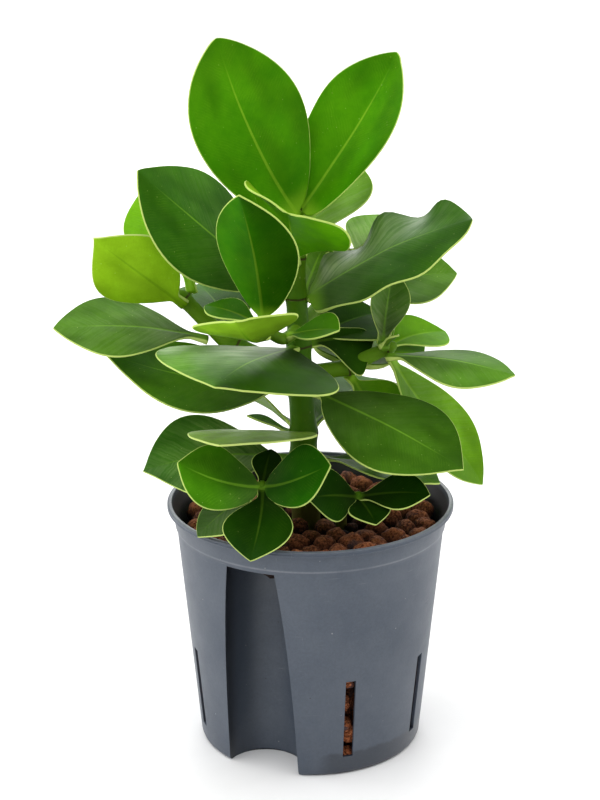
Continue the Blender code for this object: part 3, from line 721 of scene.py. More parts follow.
# %% Leaf mesh
LEAF_RINGS = 42
HALF_COLUMNS = (0, .03, .07, .13, .22, .34, .47, .60, .72, .82, .89, .94, .97, .985, .995, 1)
SWELL = 0.14                    # height of the swells, mm
SWELL_LONG = 31.0               # their lengths along and across, mm
SWELL_WIDE = 24.0
CHANNEL = 0.16                  # depth and half width of the channel over the midrib, mm
CHANNEL_HALF = 0.9
KEEL = 0.8                      # height and half width of the keel under it, mm
KEEL_HALF = 1.5
HALVES_MEET = 0.3               # the looks of the two halves, with their painted light, shade and sheen, meet over this share of the half width
FOOT_SHADE_SHARE = 0.8                # and the foot's painted shade runs out at this share of the length


def leaf_fields(place, size, look):
    """The fields of a leaf's finish, each from three values at its points or for all of them."""
    return {label: np.stack(np.broadcast_arrays(*parts), axis=-1).reshape(-1, 3)
            for label, parts in (("leaf_place", place), ("leaf_size", size), ("leaf_look", look))}


def leaf_shape(leaf, name):
    """The closed shape of a leaf, with the fields that its finish reads."""
    draw = random.Random(name)
    _, tint, tones_and_shades, waxes_and_sheens, turned, foot_shade_tone = look_of(name)
    s = np.linspace(0, 1, LEAF_RINGS)
    u = np.concatenate([[-ROOT / leaf.length], (1 - np.cos(pi * s)) / 2])
    half_columns = np.array(HALF_COLUMNS)
    v = np.concatenate([-half_columns[:0:-1], half_columns])
    middle, face, half = leaf.surface(u, v)
    along, across = (u * leaf.length)[:, None], v * half
    edge = half * (1 - np.abs(v))
    blade = np.clip(u / STALK_SHARE, 0, 1)[:, None]
    thick = BLADE + (STALK_DEPTH - BLADE) * (1 - np.clip(u / STALK_SHARE, -1, 1)[:, None])**1.5
    rim = np.minimum(thick / 2, half)
    thick_here = rim * np.sqrt(1 - np.maximum(0, 1 - edge / rim)**2)
    swell = SWELL * blade * (np.sin(tau * (along / SWELL_LONG + draw.random()))
                             * np.sin(tau * (across / SWELL_WIDE + draw.random())))
    fade = blade * np.clip(1 - u, 0, 1)[:, None]
    upper = thick_here + swell - CHANNEL * fade * np.exp(-(across / CHANNEL_HALF)**2)
    lower = -thick_here + swell - KEEL * fade * np.exp(-(across / KEEL_HALF)**2)
    columns = len(v)
    heights = np.concatenate([upper, lower[:, -2:0:-1]], axis=1)
    back = np.concatenate([np.arange(columns), np.arange(columns - 2, 0, -1)])
    points = middle[:, back] + face * heights[..., None]
    side = np.where(np.arange(len(back)) < columns, turned, -turned) * (np.abs(v[back]) < 1)
    right = 0.5 + 0.5 * np.tanh(v[back] / HALVES_MEET)
    tone_and_shade, wax_and_sheen = (first + (second - first) * right for first, second in (tones_and_shades, waxes_and_sheens))
    # painted shade: the tone darkens towards the foot
    tone_and_shade = tone_and_shade * (foot_shade_tone + (1 - foot_shade_tone) * np.sin(pi / 2 * np.clip(u / FOOT_SHADE_SHARE, 0, 1))[:, None])
    return {"points": points.reshape(-1, 3), "faces": tube_faces(len(u), len(back)),
            "fields": leaf_fields((u[:, None], v[back], side), (along, across[:, back], edge[:, back]),
                                  (tint, tone_and_shade, wax_and_sheen))}


print("a leaf has", len(leaf_shape(trial, "trial")["points"]), "points")

# %% [markdown]
# The leaf's finish. A leaf is drawn from its own measures: a pale, slightly clear rim of half a
# millimetre, a lighter midrib that fades towards the tip, and very fine veins that leave it at a slant
# and run straight to the rim, more felt than seen. These are masks in node groups, because old leaves,
# young leaves and pale undersides all use them with other colours. The wax makes a soft, even gloss, and
# where it lies a painted sheen of pale grey-green is laid into the colour in streaks along the veins.

# %% Leaf effects


def make_veins():
    """Masks of the midrib, of the fine slanting veins and of broader streaks, from measures in mm."""
    tree, nodes, given, out = new_group("leaf_veins", ["Place", "Size"], [],
                                        ["Midrib", "Veins", "Streaks"])
    along, across, edge = nodes.parts(given["Size"])
    u = nodes.parts(given["Place"])[0]
    reach = nodes.math("ABSOLUTE", across)
    width = nodes.between(u, 1.15, 0.25)
    band = nodes.step(reach, width, nodes.times(width, 0.35))
    nodes.feed(out, {"Midrib": nodes.times(band, nodes.step(u, 0.97, 0.55))})
    wander = nodes.noise(given["Size"], 0.22, 2.0)
    slant = nodes.math("MULTIPLY_ADD", reach, -0.95, along)
    slant = nodes.math("MULTIPLY_ADD", wander, 2.2, slant)
    lie = nodes.add("ShaderNodeCombineXYZ", {0: nodes.times(slant, 0.55), 1: nodes.times(across, 0.035)})
    nodes.feed(out, {"Streaks": nodes.step(nodes.noise(lie.outputs[0], 1.0, 3.0, 0.6), 0.30, 0.68)})
    wave = nodes.math("SINE", nodes.times(slant, tau / 1.55))
    fine = nodes.math("SINE", nodes.times(slant, tau / 0.62))
    lines = nodes.math("MULTIPLY_ADD", nodes.step(fine, 0.1, 1.0), 0.35, nodes.step(wave, 0.25, 1.0))
    inside = nodes.times(nodes.step(edge, 0.8, 3.5), nodes.step(reach, 0.6, 2.0))
    patchy = nodes.step(nodes.noise(nodes.scale(given["Size"], 0.12), 1.0, 2.0), 0.35, 0.70)
    inside = nodes.times(inside, patchy)
    nodes.feed(out, {"Veins": nodes.times(lines, inside)})
    return tree


def make_rim():
    """Mask of the pale rim, wider in places, from the distance to the edge in mm."""
    tree, nodes, given, out = new_group("leaf_rim", ["Size"], ["Width"])
    edge = nodes.parts(given["Size"])[2]
    uneven = nodes.between(nodes.noise(given["Size"], 0.3, 3.0), 0.6, 1.4)
    width = nodes.times(given["Width"], uneven)
    nodes.feed(out, {"Mask": nodes.step(edge, width, nodes.times(width, 0.45))})
    return tree


VEINS, RIM = make_veins(), make_rim()
print("leaf effects:", [tree.name for tree in (VEINS, RIM)])

# %% Leaf finish
SHEEN_COLOUR = (0.320, 0.400, 0.150)   # painted sheen: the pale grey-green that a waxy leaf reflects
SHEEN_SHARE = 0.40
FOOT_SHADE = (0.042, 0.070, 0.020)    # painted shade: the dark grey-green of a leaf's shaded foot
ROUGHNESS = 0.48
LEAST_GLOSS = 0.03              # the coat that is left where there is no wax
LEAF_RELIEF = 0.00006           # m


def make_leaf_finish(name, deep, light, under, rib, rim, rim_width, foot_shading):
    """A waxy leaf, from two greens for its face and one each for its underside, its ribs and its rim.

    The rim has a width in mm, and foot_shading is how strongly painted shade greys the leaf towards its
    foot.
    """
    material, nodes, shader = new_material(name, IOR=1.45, Coat_Roughness=0.32, Specular_IOR_Level=0.02)
    where = nodes.place()
    place, size = nodes.field("leaf_place"), nodes.field("leaf_size")
    tint, tone_and_shade, wax_and_sheen = nodes.parts(nodes.field("leaf_look"))
    veins = nodes.group(VEINS, Place=place, Size=size)
    u, _, side = nodes.parts(place)
    # what lies over the whole leaf: clouds, broad patches, a film of wax that also lays painted sheen,
    # and painted shade that greys the foot
    clouds = nodes.mask(MOTTLE, Place=where, Scale=38.0)
    patches = nodes.step(nodes.noise(nodes.stretch(size, (0.03, 0.06, 0.0)), 1.0, 1.0, 0.4), 0.3, 0.65)
    wax_film_and_sheen = nodes.times(wax_and_sheen, nodes.between(nodes.step(u, 0.25, 0.9), 1.0, 0.35))
    wax_film_and_sheen = nodes.times(wax_film_and_sheen, nodes.between(patches, 0.55, 1.0))
    # painted sheen: a pale grey-green laid into the colour in streaks where the wax is
    painted_sheen = nodes.times(wax_film_and_sheen, nodes.between(veins["Streaks"], 0.3, 1.0))
    painted_sheen = nodes.times(painted_sheen, SHEEN_SHARE)
    # painted shade: the foot turns a dark grey-green, in patches
    foot_shade_mask = nodes.times(nodes.step(u, 0.62, 0.05), nodes.between(patches, 0.45, 1.0))
    # the upper face
    share = nodes.math("MULTIPLY_ADD", tint, 0.8, nodes.times(clouds, 0.2))
    face = nodes.mix(share, deep, light)
    face = nodes.paint(face, foot_shade_mask, foot_shading, FOOT_SHADE)
    face = nodes.mix(painted_sheen, face, SHEEN_COLOUR)
    face = nodes.paint(face, veins["Veins"], 0.10, rib)
    face = nodes.paint(face, veins["Midrib"], 0.62, rib)
    flecks = nodes.mask(SPECKS, Place=where, Scale=520.0, Size=0.16)
    face = nodes.paint(face, flecks, 0.30, rim)
    # the lower face, and both together by a tone that holds painted light and shade, with some grain in
    # it
    below = nodes.mix(clouds, under, nodes.mix(0.35, under, rib))
    below = nodes.paint(below, veins["Midrib"], 0.5, deep)
    grain = nodes.times(nodes.noise(where, 1100.0, 3.0, 0.7), 0.5)
    grain = nodes.math("MULTIPLY_ADD", clouds, 0.5, grain)
    tone_and_shade = nodes.times(tone_and_shade, nodes.between(grain, 0.76, 1.24))
    tone_and_shade = nodes.times(tone_and_shade, nodes.between(patches, 0.84, 1.22))
    colour = nodes.scale(nodes.mix(nodes.step(side, 0.2, -0.2), face, below), tone_and_shade)
    # the pale foot and rim, the gloss and the relief
    colour = nodes.paint(colour, nodes.step(u, 0.13, 0.0), 0.7, rib)
    pale = nodes.mask(RIM, Size=size, Width=rim_width)
    dust = nodes.mask(DUST_AND_TOP_LIGHT, Place=where, Scale=90.0)
    rough = nodes.between(clouds, ROUGHNESS - 0.04, ROUGHNESS + 0.06)
    gloss = nodes.between(veins["Streaks"], 0.35, 0.75)
    skin = nodes.noise(where, 2600.0, 2.0)
    relief = nodes.math("MULTIPLY_ADD", skin, 0.5, nodes.times(veins["Veins"], 0.7))
    nodes.feed(shader, {"Base Color": nodes.paint(colour, pale, 0.85, rim),
                        "Roughness": nodes.math("MULTIPLY_ADD", dust, 0.12, rough),
                        "Coat Weight": nodes.math("MULTIPLY_ADD", wax_film_and_sheen, gloss, LEAST_GLOSS),
                        "Normal": nodes.bump(relief, LEAF_RELIEF, 0.55)})
    return material


print("effects that a leaf reads:", [tree.name for tree in (MOTTLE, SPECKS, DUST_AND_TOP_LIGHT, VEINS, RIM)])

# %% Leaf colours
# Each finish: its name, its five colours, the width of its rim and how strongly painted shade greys its
# foot
LEAF_PAINTS = {
    "leaf": ("old_leaf", (0.012, 0.095, 0.001), (0.052, 0.140, 0.004), (0.120, 0.240, 0.020),
             (0.150, 0.320, 0.020), (0.560, 0.700, 0.180), 0.52, 0.60),
    "young": ("young_leaf", (0.040, 0.235, 0.001), (0.135, 0.310, 0.004), (0.170, 0.340, 0.010),
              (0.240, 0.460, 0.020), (0.580, 0.740, 0.180), 0.55, 0.0),
    "pale": ("pale_leaf", (0.180, 0.360, 0.004), (0.230, 0.380, 0.020), (0.190, 0.370, 0.004),
             (0.110, 0.240, 0.004), (0.600, 0.720, 0.220), 0.62, 0.0),
}
LEAF_FINISHES = {paint: make_leaf_finish(*values) for paint, values in LEAF_PAINTS.items()}
print("leaf finishes:", list(LEAF_FINISHES))

# %% [markdown]
# The leaves are placed pair by pair up the stem. Each stands on the stem's surface at its joint, and its
# root goes a little way in, so that no leaf hangs in the air. A few are drawn finer than the model has
# them: the top pair meets in front of the bud, some feet grip the stem, one margin ripples, and two small
# leaves, half hidden beside the stem, are kept with the leaf that shades them.

# %% Leaves in place
REFINED = {
    "leaf_top_left": {"width": 51, "stalk": 0.0, "full": 0.42, "skew": 0.03, "shift": (3.5, -4.0, -1.0)},
    "leaf_top_right": {"stalk": 0.0, "full": 0.25, "shift": (-4.0, -1.5, -1.0)},
    "leaf_upper_right": {"stalk": 0.0, "full": 0.2},
    "leaf_right_back": {"stalk": 0.0, "full": 0.15},
    "leaf_neck_front": {"waves": 1.4, "phase": 1.07, "wave": -2.0, "wave_right": 3.0, "blunt": 0.5},
}
SMALL_LEAVES = {
    "leaf_upper_right_small": ("upper", 60, 45, 26, 22, {"roll": -20}),
    "leaf_middle_back_low": ("middle", 20, -4, 30, 26, {"roll": -45, "skew": 0.6}),
}


def stem_at(joint):
    """Direction and radius of the stem at a joint, from the run that passes through or ends there."""
    for run in RUNS.values():
        names = [each for each, _ in run]
        if joint in names[1:]:
            k = names.index(joint)
            after = JOINTS[names[min(k + 1, len(names) - 1)]]
            return unit(np.subtract(after, JOINTS[names[k - 1]])), run[k][1]
    raise KeyError(joint)


def planned_leaf(name):
    """A leaf by its name, on its joint, with its refinements."""
    joint, heading, rise, length, width, options = {**LEAVES, **SMALL_LEAVES}[name]
    options = {**options, **REFINED.get(name, {})}
    width = options.pop("width", width)
    return Leaf(np.array(JOINTS[joint]), *stem_at(joint), heading, rise, length, width, options)


def make_leaf(name):
    """One leaf. A small one that the model lacks is kept with the leaf whose name it continues."""
    leaf = planned_leaf(name)
    paint = LEAF_FINISHES[look_of(name)[0]]
    node = name if name in LEAVES else name.rsplit("_", 1)[0]
    return make_piece(name + "_blade", [leaf_shape(leaf, name)], [paint], node)


refined = [planned_leaf(name) for name in REFINED]
print("refined leaves, mm:", [(leaf.length, leaf.width) for leaf in refined])

# %% [markdown]
# The big leaf on the right has rolled its near margin up and back over its face, as a stiff old leaf does
# when it dries a little. Bending the blade that far would fold its mesh over itself, so the roll is a
# strip of its own: a closed tube along the margin, thin at both ends, that reads the same finish.

# %% Rolled margin
ROLLED = ("leaf_upper_right", -1, 0.42, 1.5, 0.6)    # leaf, half, end along it, width and height, mm
ROLL_RINGS, ROLL_SIDES = 40, 20
ROLL_LOOK = (0.4, 0.75, 0.0)    # tint, tone (painted light and shade) and wax (gloss and painted sheen)
OFF_MIDRIB = 9.0                # mm, so that no midrib is drawn on it


def make_rolled_margin(name, sign, until, width, lift):
    """A strip along the near part of one margin, where it has rolled up and back over the face."""
    leaf = planned_leaf(name)
    u = np.linspace(0.01, until, ROLL_RINGS)
    middle, face, _ = leaf.surface(u, np.array([sign * 0.999, sign * 0.9]))
    way = unit(middle[:, 1] - middle[:, 0])
    swell = np.sqrt(np.sin(pi * np.linspace(0.02, 0.98, ROLL_RINGS)))[:, None]
    turn = tau * np.arange(ROLL_SIDES) / ROLL_SIDES
    across, height = -width * (0.8 + np.cos(turn)), lift * (0.2 + np.sin(turn) - 0.5 * np.cos(turn))
    points = (middle[:, 0, None] + way[:, None] * (swell * across)[..., None]
              + face * (swell * height)[..., None])
    edge = width * (1 - np.abs(np.cos(turn)))
    all_round = np.full((ROLL_RINGS, ROLL_SIDES), 1.0)
    shape = {"points": points.reshape(-1, 3), "faces": tube_faces(ROLL_RINGS, ROLL_SIDES),
             "fields": leaf_fields((u[:, None], 0.5, all_round),
                                   (u[:, None] * leaf.length, OFF_MIDRIB, edge),
                                   (ROLL_LOOK[0], ROLL_LOOK[1] * all_round, ROLL_LOOK[2]))}
    return make_piece(name + "_rolled", [shape], [LEAF_FINISHES["leaf"]], name)


make_rolled_margin(*ROLLED)
print("rolled margin on", ROLLED[0], "along", ROLLED[2], "of its length")

# %% Blades
blades = [make_leaf(name) for name in (*LEAVES, *SMALL_LEAVES)]
print("leaves:", len(blades), "of", len(blades[0].data.polygons), "faces each")

# %% [markdown]
# The stem. It is green and as thick as a finger, swollen at each joint where a pair of leaves sat, with a
# fine brown ring round the swelling, and it turns corky where it enters the pebbles. Side shoots leave it
# without a seam. So the runs are first made as plain tubes, then melted into one skin by a voxel remesh,
# which fills each fork with a soft web of its own, and smoothed.

# %% Stem line
RUN_STEPS = 14
BUD = (3.0, 5.0)                # a run goes on past its last joint in a bud, by these lengths
CROWN_BUD = (0.8, 1.5)          # the top pair of leaves hides a flatter one
BUD_SHARES = (0.9, 0.45)        # and with these shares of the radius
SWOLLEN = 0.14                  # a joint is thicker by this share
SWOLLEN_LONG = 2.6              # over this length, mm
RINGED = ("low", "ring", "fork", "middle", "upper", "neck", "crown", "left_bend", "left_tip",
          "right_bend", "right_tip", "front_tip", "back_bend", "back_tip")


def smooth_run(points, radii, steps):
    """Centres and radii along a smooth curve through the joints."""
    points = [np.array(point, float) for point in points]
    ends = [2 * points[0] - points[1], *points, 2 * points[-1] - points[-2]]
    line, sizes = [], []
    for k in range(len(points) - 1):
        before, a, b, after = ends[k:k + 4]
        for i in range(steps):
            t = i / steps
            line.append(0.5 * (2 * a + (b - before) * t + (2 * before - 5 * a + 4 * b - after) * t**2
                               + (3 * a - before - 3 * b + after) * t**3))
            sizes.append(radii[k] * (1 - t) + radii[k + 1] * t)
    return line + [points[-1]], sizes + [radii[-1]]


def run_line(name):
    """Centres and radii of one run, swollen at its joints, with a bud past its last joint."""
    joints = [JOINTS[joint] for joint, _ in RUNS[name]]
    line, sizes = smooth_run(joints, [radius for _, radius in RUNS[name]], RUN_STEPS)
    way = unit(line[-1] - line[-2])
    sizes += [sizes[-1] * share for share in BUD_SHARES]
    line += [line[-1] + way * length for length in (CROWN_BUD if name == "main" else BUD)]
    line, sizes = np.array(line), np.array(sizes)
    for joint, _ in RUNS[name]:
        if joint in RINGED:
            away = np.linalg.norm(line - JOINTS[joint], axis=1)
            sizes *= 1 + SWOLLEN * np.exp(-(away / SWOLLEN_LONG)**2)
    return line, sizes


def tube_shape(line, sizes, sides):
    """Closed tube along a line."""
    line, sizes = np.asarray(line), np.asarray(sizes)
    way = unit(np.gradient(line, axis=0))
    across = unit(np.cross(way, (0.02, 1.0, 0.0)))
    other = np.cross(way, across)
    turn = tau * np.arange(sides) / sides
    ring = across[:, None] * np.cos(turn)[:, None] + other[:, None] * np.sin(turn)[:, None]
    points = line[:, None] + sizes[:, None, None] * ring
    return {"points": points.reshape(-1, 3), "faces": tube_faces(len(line), sides)}


run_lines = {name: run_line(name) for name in RUNS}
print("runs, mm:", {name: int(np.linalg.norm(np.diff(line, axis=0), axis=1).sum())
                    for name, (line, _) in run_lines.items()})

# %% [markdown]
# Bark has to know where it is: rings lie at the joints, streaks run lengthwise, and the foot is the
# oldest. A painted picture would need the skin laid out flat. Here each point of the skin finds the
# nearest place on the nearest run instead, and keeps what it reads there.

# %% Places on the stem
NEAR_EVERY = 0.4                # spacing of the samples that say where on its run a point lies, mm


def resample(line, sizes, every):
    """The same line with even steps."""
    far = np.concatenate([[0], np.cumsum(np.linalg.norm(np.diff(line, axis=0), axis=1))])
    steps = np.linspace(0, far[-1], max(2, int(far[-1] / every)))
    return (np.stack([np.interp(steps, far, line[:, k]) for k in range(3)], axis=1),
            np.interp(steps, far, sizes))


def stem_marks(points):
    """For each point: mm along the run from the nearest joint, the run's radius there, its height."""
    centres, radii, marks = [], [], []
    for name, (line, sizes) in run_lines.items():
        line, sizes = resample(line, sizes, NEAR_EVERY)
        way = unit(np.gradient(line, axis=0))
        joints = np.array([JOINTS[joint] for joint, _ in RUNS[name] if joint in RINGED])
        gaps = line[:, None] - joints
        nearest = np.argmin(np.linalg.norm(gaps, axis=2), axis=1)
        rows = np.arange(len(line))
        centres.append(line)
        radii.append(sizes)
        marks.append(np.stack([np.sum(gaps[rows, nearest] * way, axis=1), *way.T], axis=1))
    centres, radii, marks = map(np.concatenate, (centres, radii, marks))
    found = np.empty((len(points), 3))
    for k, point in enumerate(points):
        away = np.linalg.norm(centres - point, axis=1) - radii
        near = int(np.argmin(away))
        past = np.dot(point - centres[near], marks[near, 1:])
        found[k] = (marks[near, 0] + past, radii[near], point[2])
    return found


print("at the crown:", stem_marks(np.array([JOINTS["crown"]], float)).round(1).tolist())

# %% [markdown]
# Bark is a list of what shows on it: green with streaks, small pale pores, a thin brown ring where a leaf
# pair sat, brown cork at the foot, and fresh green at the crown and on thin shoots.

# %% Bark
CORKY = (128.0, 109.0)          # the bark turns corky from the first of these heights down to the second
FRESH = (236.0, 247.0)          # and bright green between these, towards the crown,
FRESH_RADIUS = (4.5, 3.7)       # and on shoots thinner than this,
FRESH_FROM = 140.0              # but not below this height
RING_HALF = (0.75, 0.25)        # half width of a brown ring, from its faint edge to its full colour, mm
RINGED_RADIUS = (2.0, 3.2)      # thin shoots have none
FRESH_GREEN, PORE = (0.110, 0.235, 0.006), (0.34, 0.36, 0.12)
BARK_RELIEF = 0.00022           # m


def make_wood(name, young, old, foot, ring):
    """Green bark with lengthwise streaks and small pores, brown rings at the joints and a corky foot."""
    material, nodes, shader = new_material(name, IOR=1.45, Specular_IOR_Level=0.15)
    where = nodes.place()
    from_joint, radius, height = nodes.parts(nodes.field("stem_marks"))
    clouds = nodes.mask(MOTTLE, Place=where, Scale=70.0)
    streaks = nodes.noise(nodes.stretch(where, (900.0, 900.0, 60.0)), 1.0, 3.0)
    colour = nodes.mix(nodes.math("MULTIPLY_ADD", streaks, 0.6, nodes.times(clouds, 0.5)), young, old)
    uneven = nodes.between(nodes.noise(where, 160.0, 4.0), -9.0, 9.0)
    low = nodes.step(nodes.math("ADD", height, uneven), *CORKY)
    colour = nodes.paint(colour, low, 0.85, foot)
    fresh = nodes.math("MAXIMUM", nodes.step(height, *FRESH), nodes.step(radius, *FRESH_RADIUS))
    fresh = nodes.times(fresh, nodes.step(height, CORKY[0], FRESH_FROM))
    colour = nodes.paint(colour, fresh, 0.8, FRESH_GREEN)
    pores = nodes.mask(SPECKS, Place=nodes.stretch(where, (1.0, 1.0, 0.5)), Scale=480.0, Size=0.26)
    colour = nodes.paint(colour, pores, 0.4, PORE)
    wobble = nodes.between(nodes.noise(where, 240.0, 2.0), -0.5, 0.5)
    away = nodes.math("ABSOLUTE", nodes.math("ADD", from_joint, wobble))
    band = nodes.times(nodes.step(away, *RING_HALF), nodes.step(radius, *RINGED_RADIUS))
    relief = nodes.math("MULTIPLY_ADD", pores, 0.5, nodes.times(streaks, 0.6))
    relief = nodes.math("MULTIPLY_ADD", band, -1.2, relief)
    nodes.feed(shader, {"Base Color": nodes.paint(colour, band, 0.75, ring),
                        "Roughness": nodes.between(nodes.math("MAXIMUM", low, streaks), 0.42, 0.72),
                        "Normal": nodes.bump(relief, BARK_RELIEF, 0.7)})
    return material


WOOD = make_wood("green_stem", (0.036, 0.130, 0.001), (0.068, 0.160, 0.002), (0.110, 0.085, 0.020),
                 (0.035, 0.010, 0.006))
print("bark:", WOOD.name)

# %% Stem skin
STEM_VOXEL = 0.55               # mm
STEM_SIDES = 28
SHOOT_SIDES = 18
SOFTEN, SOFTEN_ROUNDS = 0.5, 7


def applied(piece):
    """Bake a piece's modifiers into its mesh."""
    bpy.context.view_layer.update()
    evaluated = piece.evaluated_get(bpy.context.evaluated_depsgraph_get())
    mesh = bpy.data.meshes.new_from_object(evaluated)
    piece.modifiers.clear()
    piece.data = mesh
    return piece


def make_stem():
    """All runs melted into one skin, with the marks that its bark reads."""
    shapes = [tube_shape(*run_lines[name], STEM_SIDES if name == "main" else SHOOT_SIDES)
              for name in RUNS]
    stem = make_piece("stem_skin", shapes, [WOOD], "stem")
    remesh = stem.modifiers.new("melt", "REMESH")
    remesh.mode, remesh.voxel_size = "VOXEL", STEM_VOXEL * MM
    soften = stem.modifiers.new("soften", "SMOOTH")
    soften.factor, soften.iterations = SOFTEN, SOFTEN_ROUNDS
    applied(stem)
    stem.data.shade_smooth()
    places = np.empty(3 * len(stem.data.vertices))
    stem.data.vertices.foreach_get("co", places)
    add_field(stem, "stem_marks", stem_marks(places.reshape(-1, 3) / MM))
    return stem


stem = make_stem()
print("stem:", len(stem.data.vertices), "points")

# %% [markdown]
# Two small shoots come up through the pebbles at the front rim. Each is a thin stem with a rosette of
# young leaves, so it is one piece made of several closed shapes with two finishes.

# %% Small shoots
FAR_FROM_JOINT = 9.0            # mm, so that no brown ring is drawn on them
UNDER_BEND = (SHOOT_BEND - 10, SHOOT_BEND - 2)    # two more heights, which keep them straight


def make_rosette(name):
    """A thin stem out of the pebbles, with its leaves round its tip."""
    place, top, leaves = ROSETTES[name]
    joint = np.array(top)
    upright = [(*place, height) for height in (SHOOT_FOOT, *UNDER_BEND, SHOOT_BEND)]
    radii = (SHOOT_RADIUS,) * len(upright) + (SHOOT_TIP_RADIUS,)
    line, sizes = smooth_run((*upright, top), radii, RUN_STEPS)
    line.append(joint + (0, 0, BUD[0]))
    sizes.append(SHOOT_TIP_RADIUS * BUD_SHARES[1])
    shapes = []
    for k, (heading, rise, length, width, options) in enumerate(leaves):
        leaf = Leaf(joint, np.array((0.0, 0.0, 1.0)), -LEAF_SINK, heading, rise, length, width, options)
        shapes.append(leaf_shape(leaf, f"{name} {k}"))
    stalk = tube_shape(line, sizes, SHOOT_SIDES)
    stalk["finish"] = 1
    piece = make_piece(name + "_leaves", shapes + [stalk], [LEAF_FINISHES["leaf"], WOOD], name)
    marks = np.zeros((sum(len(shape["points"]) for shape in shapes + [stalk]), 3))
    marks[-len(stalk["points"]):] = [(FAR_FROM_JOINT, SHOOT_RADIUS, z) for z in stalk["points"][:, 2]]
    add_field(piece, "stem_marks", marks)
    return piece


rosettes = [make_rosette(name) for name in ROSETTES]
print("small shoots:", [len(item.data.polygons) for item in rosettes], "faces")

# %% [markdown]
# The pot. It is one thin moulded shell: a tapered wall with a band and a lip at the top, narrow slots
# that let the roots breathe, and at the front an upright recess where a water gauge slides in. The
# recess could be cut out with a Boolean, but a Boolean leaves long thin faces that shade badly at its
# sharp corners. So the shell is lofted: at every height its plan is the same list of points, some on the
# recess's arc and the rest on the round wall, and a closed ceiling appears where two plans at one height
# differ. Outside and inside have the same list, so a slot is only a matter of leaving out the same cells
# on both and joining their edges.

# %% Pot measures
# As in the model, in mm, and in degrees from the camera side, + to the right
LIP_RADIUS, LIP_INNER, LIP_DEPTH, LIP_SLOPE, LIP_SEAM = 65.0, 63.0, 2.6, 0.4, 2.4
LIP_ROUND, LIP_THROAT, LIP_CHAMFER = 0.6, 1.5, 0.5
POT_HEIGHT, BAND_BOTTOM, BAND_STEP, BAND_RADIUS = 114.0, 102.5, 0.8, 61.4
WALL_TOP_RADIUS, BASE_RADIUS, BASE_ROUND = 60.7, 50.7, 2.2
WALL, FLOOR = 1.6, 2.4
GROOVE_RADIUS, GROOVE_CENTRE, GROOVE_ANGLE, GROOVE_TOP = 17.2, 46.6, -26.0, 101.0
SLOT_WIDTH, SLOT_BOTTOM, SLOT_TOP, SLOT_COUNT, SLOT_STEP = 4.6, 9.0, 47.5, 7, 45.0
DRAIN_RADIUS, DRAIN_CIRCLE, DRAIN_COUNT, DRAIN_FIRST, DRAIN_STEP = 2.5, 26.0, 4, 64.0, 60.0
GROOVE_CELLS = 40
CORNER_CELLS = 12               # between the groove's corner and the first slot
SLOT_CELLS = 2
WALL_CELLS = 16                 # between two slots


def around(angle, radius):
    """X and Y of a point at an angle in degrees from the camera side, + to the right."""
    return radius * sin(radians(angle)), -radius * cos(radians(angle))


def wall_radius(height):
    """Outer radius of the tapered wall at a height."""
    return BASE_RADIUS + (WALL_TOP_RADIUS - BASE_RADIUS) * height / BAND_BOTTOM


def inner_radius(height):
    """Inner radius of the pot at a height: the tapered wall, then wider up to the lip."""
    if height <= BAND_BOTTOM:
        return wall_radius(height) - WALL
    share = (height - BAND_BOTTOM) / (POT_HEIGHT - LIP_THROAT - BAND_BOTTOM)
    return WALL_TOP_RADIUS - WALL + share * (LIP_INNER - LIP_CHAMFER - WALL_TOP_RADIUS + WALL)


def plan(radius, reach, notched):
    """The shell's plan at one height: points on the recess's arc, of radius reach, then the wall's."""
    cut_at = radius if notched else min(radius, wall_radius(GROOVE_TOP))
    half = np.arccos((cut_at**2 + GROOVE_CENTRE**2 - reach**2) / (2 * cut_at * GROOVE_CENTRE))
    share = np.arange(GROOVE_CELLS) / GROOVE_CELLS
    if notched:
        first = np.arctan2(radius * sin(half), radius * cos(half) - GROOVE_CENTRE)
        turn = -first - share * (tau - 2 * first)
        notch = (GROOVE_CENTRE, 0.0) + reach * circle(turn)
    else:
        turn = half * (2 * share - 1)
        notch = radius * circle(turn)
    slot = np.arcsin(SLOT_WIDTH / 2 / radius)
    stops, counts = [half], []
    for k in range(1, SLOT_COUNT + 1):
        middle = radians(SLOT_STEP * k)
        stops += [middle - slot, middle + slot]
        counts += [CORNER_CELLS if k == 1 else WALL_CELLS, SLOT_CELLS]
    stops, counts = stops + [tau - half], counts + [CORNER_CELLS]
    turns = np.concatenate([np.linspace(a, b, count, endpoint=False)
                            for a, b, count in zip(stops, stops[1:], counts)])
    both = np.concatenate([notch, radius * circle(turns)])
    x, y = around(GROOVE_ANGLE, 1.0)
    return np.stack([both[:, 0] * x - both[:, 1] * y, both[:, 0] * y + both[:, 1] * x], axis=1)


COLUMNS = len(plan(BASE_RADIUS, GROOVE_RADIUS, True))
SLOT_COLUMNS = {GROOVE_CELLS + CORNER_CELLS + k * (SLOT_CELLS + WALL_CELLS) + i
                for k in range(SLOT_COUNT) for i in range(SLOT_CELLS)}
print("the pot's plan has", COLUMNS, "points, of which cells in slots:", len(SLOT_COLUMNS))

# %% Pot rings
FOOT_ROUND = ((1.15, 0.25), (0.35, 0.95))    # the foot's rounding: how far in, at which heights, mm
LIP_LINE = 1.15                 # a fine groove runs round the bead this far under its top
LIP_LINE_DEPTH, LIP_LINE_HALF = 0.22, 0.3
LIP_CORNER = 0.18               # where the middle of the lip's rounding lies, in from its corner
THROAT_RING = 5.0               # a ring of the inside lies this far over the band's foot
WALL_RINGS = (SLOT_BOTTOM, 18.0, 27.5, 37.0, SLOT_TOP, 60.0, 74.0, 88.0)


